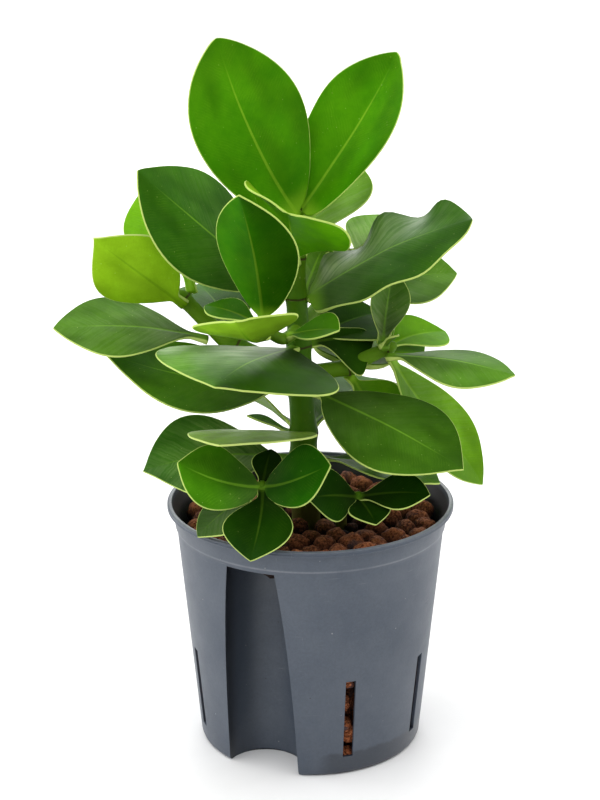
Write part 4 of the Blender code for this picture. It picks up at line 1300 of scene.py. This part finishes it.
def pot_levels():
    """Rings of the shell, up the outside and down the inside: radius, height, arc radius, notched."""
    lip_bottom = POT_HEIGHT - LIP_DEPTH
    line = POT_HEIGHT - LIP_LINE
    outside = [(BASE_RADIUS - BASE_ROUND, 0.0)]
    outside += [(wall_radius(z) - inward, z) for inward, z in FOOT_ROUND]
    outside += [(wall_radius(z), z) for z in (BASE_ROUND, *WALL_RINGS, GROOVE_TOP)]
    levels = [(radius, z, GROOVE_RADIUS, True) for radius, z in outside]
    upper = [(wall_radius(GROOVE_TOP), GROOVE_TOP), (WALL_TOP_RADIUS, BAND_BOTTOM),
             (BAND_RADIUS, BAND_BOTTOM + BAND_STEP), (LIP_RADIUS - LIP_SEAM, lip_bottom - LIP_SLOPE),
             (LIP_RADIUS, lip_bottom + LIP_SLOPE), (LIP_RADIUS, line - LIP_LINE_HALF),
             (LIP_RADIUS - LIP_LINE_DEPTH, line), (LIP_RADIUS, line + LIP_LINE_HALF),
             (LIP_RADIUS, POT_HEIGHT - LIP_ROUND), (LIP_RADIUS - LIP_CORNER, POT_HEIGHT - LIP_CORNER),
             (LIP_RADIUS - LIP_ROUND, POT_HEIGHT), (LIP_INNER, POT_HEIGHT)]
    levels += [(radius, z, GROOVE_RADIUS, False) for radius, z in upper]
    levels += [(inner_radius(z), z, GROOVE_RADIUS + WALL, False)
               for z in (POT_HEIGHT - LIP_THROAT, BAND_BOTTOM + THROAT_RING, GROOVE_TOP + WALL)]
    levels += [(inner_radius(z), z, GROOVE_RADIUS + WALL, True)
               for z in (GROOVE_TOP + WALL, *WALL_RINGS[::-1], FLOOR)]
    return levels


print("the shell has", len(pot_levels()), "rings")

# %% Pot shell


def pot_shape():
    """The shell's rings joined by quads, with the slots' cells left out and their edges joined."""
    levels = pot_levels()
    points = stacked((plan(radius, reach, notched), z) for radius, z, reach, notched in levels)
    open_rows = [i for i, (one, other) in enumerate(zip(levels, levels[1:]))
                 if SLOT_BOTTOM <= min(one[1], other[1]) and max(one[1], other[1]) <= SLOT_TOP]
    open_cells = {(i, j) for i in open_rows for j in SLOT_COLUMNS}
    *faces, foot_cap, floor_cap = tube_faces(len(levels), COLUMNS, open_cells)
    rings = {(round(level[1], 3), level[2] > GROOVE_RADIUS): i for i, level in enumerate(levels)}
    heights = sorted(z for z, inner in rings if not inner and SLOT_BOTTOM <= z <= SLOT_TOP)
    for j in SLOT_COLUMNS:
        for z, turn in ((SLOT_BOTTOM, 1), (SLOT_TOP, -1)):
            out, back = rings[z, False] * COLUMNS, rings[z, True] * COLUMNS
            faces.append((out + j, out + j + 1, back + j + 1, back + j)[::turn])
    for k in range(SLOT_COUNT):
        left = GROOVE_CELLS + CORNER_CELLS + k * (SLOT_CELLS + WALL_CELLS)
        for j, turn in ((left, 1), (left + SLOT_CELLS, -1)):
            for low, high in zip(heights, heights[1:]):
                corners = [rings[low, False], rings[low, True], rings[high, True], rings[high, False]]
                faces.append([corner * COLUMNS + j for corner in corners][::turn])
    return {"points": points, "faces": faces + [foot_cap, floor_cap]}


print("the shell has", len(pot_shape()["faces"]), "faces")

# %% [markdown]
# The plastic is blue-grey and matt, with a fine tooth from its mould. What makes it look used is laid on
# by place: pale scuffs and specks, bright worn edges and a damp mark low on the right. Painted shade
# darkens the side of the recess that the light misses, and the inside.

# %% Pot plastic
PLASTIC_DARK, PLASTIC_LIGHT = (0.048, 0.063, 0.090), (0.064, 0.080, 0.108)
SCUFF, DOT, WORN = (0.36, 0.37, 0.38), (0.020, 0.020, 0.022), (0.30, 0.32, 0.35)
# the last two are painted shade, for the side of the recess and for the inside
DAMP, GROOVE_SHADE, INSIDE_SHADE = (0.024, 0.031, 0.045), (0.018, 0.022, 0.030), (0.012, 0.011, 0.010)
# Where they begin and where they are full, m
DAMP_HEIGHT, DAMP_RIGHT, DAMP_FRONT = (0.0125, 0.0105), (0.002, 0.010), (0.0, -0.01)
STEP_WORN, LIP_WORN = (0.0008, 0.0002), (0.1132, 0.1139)
INSIDE_SHADE_HEIGHT, GROOVE_SHADE_HEIGHT = (0.1130, 0.1115), (0.1050, 0.1040)
PLASTIC_RELIEF = 0.00012        # m


def make_plastic():
    """Blue-grey moulded plastic with the marks of its use, and painted shade in the recess and inside."""
    material, nodes, shader = new_material("pot_plastic", IOR=1.5, Coat_Roughness=0.35)
    where = nodes.place()
    x, y, z = nodes.parts(where)
    # scuffs and specks
    clouds = nodes.mask(MOTTLE, Place=where, Scale=22.0)
    colour = nodes.mix(clouds, PLASTIC_DARK, PLASTIC_LIGHT)
    specks = nodes.mask(SPECKS, Place=where, Scale=210.0, Size=0.10)
    dots = nodes.mask(SPECKS, Place=nodes.stretch(where, (1.0, 1.1, 0.9)), Scale=150.0, Size=0.07)
    fine = nodes.noise(nodes.stretch(where, (60.0, 60.0, 1500.0)), 1.0, 2.0)
    upright = nodes.noise(nodes.stretch(where, (1300.0, 1300.0, 40.0)), 1.0, 2.0)
    scuffs = nodes.math("MAXIMUM", nodes.step(fine, 0.70, 0.80), nodes.step(upright, 0.74, 0.84))
    pale = nodes.math("MAXIMUM", specks, nodes.times(scuffs, 0.35))
    colour = nodes.paint(colour, pale, 0.55, SCUFF)
    colour = nodes.paint(colour, dots, 0.7, DOT)
    # the damp mark and the worn edges
    wave = nodes.between(nodes.noise(where, 45.0, 3.0), -0.006, 0.006)
    tide = nodes.math("ADD", z, wave)
    damp = nodes.times(nodes.step(tide, *DAMP_HEIGHT), nodes.step(x, *DAMP_RIGHT))
    damp = nodes.times(damp, nodes.step(y, *DAMP_FRONT))
    colour = nodes.paint(colour, damp, 0.8, DAMP)
    off_step = nodes.math("ABSOLUTE", nodes.math("SUBTRACT", z, (BAND_BOTTOM + BAND_STEP) * MM))
    step_edge, lip_edge = nodes.step(off_step, *STEP_WORN), nodes.step(z, *LIP_WORN)
    worn = nodes.times(nodes.math("MAXIMUM", step_edge, lip_edge), nodes.between(clouds, 0.12, 0.35))
    colour = nodes.mix(worn, colour, WORN)
    # painted shade on the inside, whose faces look at the pot's axis, and on the recess's side, whose
    # faces look sideways
    facing = nodes.parts(nodes.normal())
    outward = nodes.math("MULTIPLY_ADD", facing[0], x, nodes.times(facing[1], y))
    # painted shade: the inside darkens below the lip
    inside = nodes.times(nodes.step(outward, 0.0, -0.02), nodes.step(z, *INSIDE_SHADE_HEIGHT))
    colour = nodes.paint(colour, inside, 0.85, INSIDE_SHADE)
    # painted shade on the side of the recess that the light misses
    sideways = nodes.times(facing[0], y)
    sideways = nodes.math("SUBTRACT", sideways, nodes.times(facing[1], x))
    shaded_side = nodes.times(nodes.step(sideways, -0.012, -0.045), nodes.step(z, *GROOVE_SHADE_HEIGHT))
    colour = nodes.paint(colour, shaded_side, 0.6, GROOVE_SHADE)
    # the tooth of the mould
    tooth = nodes.noise(where, 800.0, 3.0, 0.75)
    rough = nodes.between(nodes.noise(where, 130.0, 4.0), 0.40, 0.56)
    grain = nodes.noise(where, 1900.0, 3.0)
    relief = nodes.math("MULTIPLY_ADD", grain, 0.6, nodes.times(pale, -0.5))
    nodes.feed(shader, {"Base Color": nodes.scale(colour, nodes.between(tooth, 0.75, 1.25)),
                        "Roughness": nodes.math("MULTIPLY_ADD", damp, -0.14, rough),
                        "Coat Weight": nodes.between(clouds, 0.05, 0.18),
                        "Normal": nodes.bump(relief, PLASTIC_RELIEF, 0.6)})
    return material


PLASTIC = make_plastic()
print("plastic:", PLASTIC.name)

# %% Pot in place
WELD = 0.01                     # points closer than this are one, mm
POT_BEVEL = 0.28                # mm
SHARP = 38                      # edges that turn by more degrees than this are rounded


def weld(mesh):
    """Join the points that lie on each other, where two plans at one height share the round wall."""
    with edited(mesh) as shape:
        bmesh.ops.remove_doubles(shape, verts=shape.verts, dist=WELD * MM)


def make_pot():
    """The shell with its sharp edges rounded."""
    pot = make_piece("pot_shell", [pot_shape()], [PLASTIC], "pot")
    weld(pot.data)
    rounding = pot.modifiers.new("edges", "BEVEL")
    rounding.width, rounding.segments = POT_BEVEL * MM, 2
    rounding.limit_method, rounding.angle_limit = "ANGLE", radians(SHARP)
    rounding.harden_normals = True
    applied(pot)
    return pot


pot = make_pot()
print("pot:", len(pot.data.polygons), "faces, size", [round(side / MM, 1) for side in pot.dimensions])

# %% [markdown]
# Drain holes in the floor, seen only from below, are the one thing a Boolean does well here: four round
# cutters through a flat floor.

# %% Drain holes
DRAIN_SIDES = 28


def cut(piece, shapes):
    """Take closed shapes in mm out of a piece."""
    cutter = make_piece("cutter", shapes, [PLASTIC], "pot")
    modifier = piece.modifiers.new("cut", "BOOLEAN")
    modifier.operation, modifier.solver, modifier.object = "DIFFERENCE", "EXACT", cutter
    applied(piece)
    bpy.data.objects.remove(cutter, do_unlink=True)


def upright_rod(place, radius, bottom, top, sides):
    """A straight closed rod standing on end."""
    turn = tau * np.arange(sides) / sides
    ring = place + radius * circle(turn)
    return {"points": stacked([(ring, bottom), (ring, top)]), "faces": tube_faces(2, sides)}


cut(pot, [upright_rod(around(DRAIN_FIRST + DRAIN_STEP * k, DRAIN_CIRCLE), DRAIN_RADIUS, -3.0, FLOOR + 3.0,
                      DRAIN_SIDES) for k in range(DRAIN_COUNT)])
print("drain holes:", DRAIN_COUNT)

# %% [markdown]
# The pebbles. They are balls of fired clay: each one a little different, with a rough, pitted skin, and
# deep shadow between them. A bumpy sheet would look like soil. So every pebble on the top is a ball of
# its own, pushed in and out by noise, at the place that the model gives it. Smaller ones lie in the
# gaps and below, some lean against the slots, and a bed under them, dark as painted shade, closes what is
# left.

# %% Top pebbles
# The first two lines are as in the model, mm
PEBBLE_LEVEL, PEBBLE_RADIUS, PEBBLE_SIZES = 103.0, 7.0, (0.88, 1.08)
PEBBLE_PITCH, ROW_PITCH, PEBBLE_SHAKE, PEBBLE_DROP = 12.2, 0.87, 0.7, (-1.4, 0.8)
BALL = 0.92                     # a ball's radius as a share of the model's pebble


def stem_holes():
    """Centre and radius of each stem that stands in the pebbles."""
    holes = [(JOINTS["foot"][:2], RUNS["main"][0][1])]
    return holes + [(place, SHOOT_RADIUS) for place, _, _ in ROSETTES.values()]


def pebble_places():
    """Centres and radii of the top pebbles, as in the model: shaken rows, clear of the stems."""
    draw = random.Random(7)
    places = []
    rows = int(LIP_INNER / PEBBLE_PITCH) + 1
    for j in range(-rows, rows + 1):
        for i in range(-rows, rows + 1):
            x = (i + 0.5 * (j % 2)) * PEBBLE_PITCH + draw.uniform(-PEBBLE_SHAKE, PEBBLE_SHAKE)
            y = j * PEBBLE_PITCH * ROW_PITCH + draw.uniform(-PEBBLE_SHAKE, PEBBLE_SHAKE)
            radius = PEBBLE_RADIUS * draw.uniform(*PEBBLE_SIZES)
            level = PEBBLE_LEVEL + draw.uniform(*PEBBLE_DROP)
            draw.uniform(0, tau)    # the model turns its pebble, and a ball only keeps in step with it
            room = inner_radius(level) - SEAT - radius
            if hypot(x, y) > room + PEBBLE_PITCH / 2:
                continue
            if hypot(x, y) > room:
                x, y = x * room / hypot(x, y), y * room / hypot(x, y)
            if all(hypot(x - hole[0], y - hole[1]) > radius + size / 2 for hole, size in stem_holes()):
                places.append((x, y, level, radius * BALL))
    return places


top_balls = pebble_places()
print("pebbles on top:", len(top_balls))

# %% [markdown]
# The gaps are filled the way pebbles fill a pot: drop one anywhere, and keep it if it fits. The big ones
# along the wall come first, then smaller ones, until hardly any more find room. Behind each slot a short
# pile leans against the wall, so that clay shows through it.

# %% Pebbles in the gaps
RIM_BALLS = (5.8, 7.2)          # radii of the balls that lie against the wall
RIM_TRIES, ALL_TRIES = 900, 16000
RIM_CLOSE, GAP_CLOSE = 0.96, 0.86    # least distance of two balls, in sums of their radii
GAP_BALLS = (3.2, 6.0)          # radii of those in the gaps, and how far out they lie
GAP_REACH = 62.0
STEM_CLOSE = 0.8                # least distance from a stem, as a share of a ball's radius
BED_TOP = 92.0                  # the bed under them fills the pot up to here


def fits(ball, balls, share):
    """Whether a ball stays away from all others by a share of the sum of their radii."""
    return all((ball[0] - x)**2 + (ball[1] - y)**2 + (ball[2] - z)**2 > (share * (ball[3] + radius))**2
               for x, y, z, radius in balls)


def in_pot(x, y, z, radius):
    """Whether a ball is clear of the wall, the recess and the stems."""
    gx, gy = around(GROOVE_ANGLE, GROOVE_CENTRE)
    return (hypot(x, y) < inner_radius(z) - SEAT - radius
            and (z > GROOVE_TOP + WALL + radius or hypot(x - gx, y - gy) > GROOVE_RADIUS + WALL + radius)
            and all(hypot(x - hole[0], y - hole[1]) > radius * STEM_CLOSE + size
                    for hole, size in stem_holes()))


def lower_places(top):
    """Smaller balls against the wall, then in the gaps under the top ones, until no more fit."""
    draw = random.Random(23)
    balls = list(top)
    for step in range(ALL_TRIES):
        radius = draw.uniform(*GAP_BALLS)
        angle, reach = draw.uniform(0, tau), GAP_REACH * draw.random()**0.5
        z = draw.uniform(BED_TOP, PEBBLE_LEVEL - 0.5)
        if step < RIM_TRIES:
            radius, z = draw.uniform(*RIM_BALLS), PEBBLE_LEVEL + draw.uniform(-0.5, 1.5)
            reach = inner_radius(z) - SEAT - radius - 0.1
        ball = (reach * cos(angle), reach * sin(angle), z, radius)
        if in_pot(*ball) and fits(ball, balls, RIM_CLOSE if step < RIM_TRIES else GAP_CLOSE):
            balls.append(ball)
    return balls[len(top):]


low_balls = lower_places(top_balls)
print("pebbles in the gaps:", len(low_balls))

# %% Pebbles behind the slots
SLOT_BALLS = (3.6, 5.0)         # radii of those behind a slot, how many, how far apart in height
SLOT_TRIES, SLOT_PITCH = 9, 5.6
SLOT_SHAKE = 3.5                # and how far to either side, degrees
SLOT_CLOSE = 0.7                # least distance of two of them, in sums of their radii


def slot_places():
    """Balls that lean against the slots from inside."""
    draw = random.Random(5)
    balls = []
    for k in range(SLOT_COUNT):
        for step in range(SLOT_TRIES):
            radius, z = draw.uniform(*SLOT_BALLS), SLOT_BOTTOM - 3 + step * SLOT_PITCH
            shift = draw.uniform(-SLOT_SHAKE, SLOT_SHAKE)
            angle = GROOVE_ANGLE + SLOT_STEP * (k + 1) + shift
            z = max(z, FLOOR + radius + 0.4)
            ball = (*around(angle, inner_radius(z) - 0.5 - radius), z, radius)
            if fits(ball, balls, SLOT_CLOSE):
                balls.append(ball)
    return balls


slot_balls = slot_places()
print("pebbles behind the slots:", len(slot_balls))

# %% [markdown]
# One pebble is a ball of small triangles, pushed in and out by noise three times: bent by a broad one,
# knobbly by a finer one and gritty by the finest. What lies deep in its skin is kept as a number, and
# the finish darkens it there as painted shade.

# %% Pebble shapes
PEBBLE_NOISE = ((1.0, 0.20), (2.7, 0.12), (8.5, 0.05))    # how fine each is, and how far it pushes
NOISE_SCALE = 1.25


def ball_template(level):
    """Points and faces of a unit ball of small triangles."""
    shape = bmesh.new()
    bmesh.ops.create_icosphere(shape, subdivisions=level, radius=1.0)
    points = np.array([vertex.co for vertex in shape.verts])
    faces = [[vertex.index for vertex in face.verts] for face in shape.faces]
    shape.free()
    return points, faces


BALL_POINTS, BALL_FACES = ball_template(3)


def pebble_shape(x, y, z, radius, seed):
    """One pebble: a squashed ball, bent and roughened by noise, with the depth of its pits."""
    draw = random.Random(seed)
    turn = Matrix.Rotation(draw.uniform(0, tau), 3, "Z") @ Matrix.Rotation(draw.uniform(0, tau), 3, "X")
    shift = Vector((draw.uniform(0, 90), draw.uniform(0, 90), draw.uniform(0, 90)))
    stretch = np.array([draw.uniform(0.9, 1.08), draw.uniform(0.9, 1.05), draw.uniform(0.84, 0.98)])
    out, pits = [], []
    for point in BALL_POINTS:
        place = Vector(point) * NOISE_SCALE + shift
        bend, knobs, grit = (push * noise.noise(place * fine) for fine, push in PEBBLE_NOISE)
        out.append(Vector(point) * (1 + bend + knobs + grit))
        pits.append(-(knobs + grit) / 0.1)
    out = np.array(out) * stretch @ np.array(turn).T
    out = out / np.abs(out).max() * radius
    fields = {"pebble_tint": np.column_stack([np.full(len(out), draw.random()),
                                              np.full(len(out), draw.random()), pits])}
    return {"points": out + (x, y, z), "faces": BALL_FACES, "fields": fields}


print("a pebble has", len(BALL_POINTS), "points")

# %% Bed
BED_GAP = 8.2                   # the bed stays this far from the pot's wall,
BED_SHOULDER = 3.0              # rounds in at its top by this much,
GROOVE_GAP = 1.2                # and stays this far from the recess
BED_SHADE_TINT = (0.0, 0.9, 0.8)      # its tint, scorch and depth, as on a dark pebble: painted shade, as deep between the pebbles


def bed_shape():
    """The bed under the pebbles, dark as painted shade: the inside of the pot, drawn in a little."""
    levels = [(FLOOR + 0.5, BED_GAP), (40.0, BED_GAP), (BED_TOP - BED_SHOULDER, BED_GAP),
              (BED_TOP, BED_GAP + BED_SHOULDER)]
    arc = GROOVE_RADIUS + WALL + GROOVE_GAP
    points = stacked((plan(inner_radius(z) - gap, arc, True), z) for z, gap in levels)
    return {"points": points, "faces": tube_faces(len(levels), COLUMNS),
            "fields": {"pebble_tint": np.tile(BED_SHADE_TINT, (len(points), 1))}}


print("the bed has", len(bed_shape()["points"]), "points")

# %% [markdown]
# Fired clay is red-brown where it broke and dusty where it rubbed. Its pits and hollows are darkened as
# painted shade, and what faces up is laid paler as dust and painted light. Light hardly reaches between
# the balls, and the renderer's soft room light is too kind to that, so the colour itself falls off with
# depth. Behind the slots it comes back, because light falls in from the side.

# %% Fired clay
CLAY_DARK, CLAY_LIGHT, CLAY_GRIT = (0.110, 0.030, 0.010), (0.280, 0.085, 0.032), (0.500, 0.180, 0.080)
# painted shade, for the hollows of the grit and for the pits
HOLLOW_SHADE, PIT_SHADE = (0.014, 0.005, 0.003), (0.030, 0.011, 0.007)
# the second is dust and painted light on what faces up
SCORCHED, CLAY_DUST_AND_TOP_LIGHT = (0.035, 0.040, 0.050), (0.560, 0.210, 0.085)
LIT_ABOVE, LIT_SHARES = (0.1020, 0.1105), (0.04, 1.30)    # from the gaps to the tops, m, and how light
LIT_BELOW, LIT_BEHIND_SLOTS = (0.060, 0.050), 1.5
CLAY_RELIEF = 0.0007            # m


def make_clay():
    """Fired clay: red-brown with paler grit, painted shade in its pits and hollows, paler tops of dust
    and painted light, and now and then a blue-black scorch.
    """
    material, nodes, shader = new_material("fired_clay", IOR=1.45, Specular_IOR_Level=0.20)
    where = nodes.place()
    tint, scorch, pit = nodes.parts(nodes.field("pebble_tint"))
    grit = nodes.noise(where, 900.0, 5.0, 0.7)
    colour = nodes.mix(tint, CLAY_DARK, CLAY_LIGHT)
    colour = nodes.mix(nodes.step(grit, 0.46, 0.72), colour, CLAY_GRIT)
    # painted shade in the hollows of the grit
    colour = nodes.paint(colour, nodes.step(grit, 0.52, 0.36), 0.85, HOLLOW_SHADE)
    patch = nodes.noise(where, 95.0, 3.0)
    burnt = nodes.times(nodes.step(patch, 0.54, 0.62), nodes.step(scorch, 0.45, 0.8))
    colour = nodes.paint(colour, burnt, 0.8, SCORCHED)
    # painted shade in the pits
    colour = nodes.paint(colour, nodes.step(pit, 0.1, 0.9), 0.6, PIT_SHADE)
    # dust and painted light: what faces up is laid paler
    dust = nodes.mask(DUST_AND_TOP_LIGHT, Place=where, Scale=260.0)
    colour = nodes.paint(colour, dust, 0.30, CLAY_DUST_AND_TOP_LIGHT)
    height = nodes.parts(where)[2]
    lit = nodes.between(nodes.step(height, *LIT_ABOVE), *LIT_SHARES)
    lit = nodes.math("MULTIPLY_ADD", nodes.step(height, *LIT_BELOW), LIT_BEHIND_SLOTS, lit)
    relief = nodes.math("MULTIPLY_ADD", nodes.noise(where, 420.0, 4.0, 0.65), 0.8, grit)
    nodes.feed(shader, {"Base Color": nodes.scale(colour, lit),
                        "Roughness": nodes.between(grit, 0.98, 0.72),
                        "Normal": nodes.bump(relief, CLAY_RELIEF, 0.9)})
    return material


CLAY = make_clay()
print("clay:", CLAY.name)

# %% Pebbles in place
shapes = [pebble_shape(*ball, f"top {k}") for k, ball in enumerate(top_balls)]
top_pebbles = make_piece("pebbles_top", shapes, [CLAY], "pebbles")
shapes = [pebble_shape(*ball, f"low {k}") for k, ball in enumerate(low_balls + slot_balls)]
low_pebbles = make_piece("pebbles_below", shapes + [bed_shape()], [CLAY], "pebbles")
print("pebble faces:", len(top_pebbles.data.polygons), len(low_pebbles.data.polygons))

# %% [markdown]
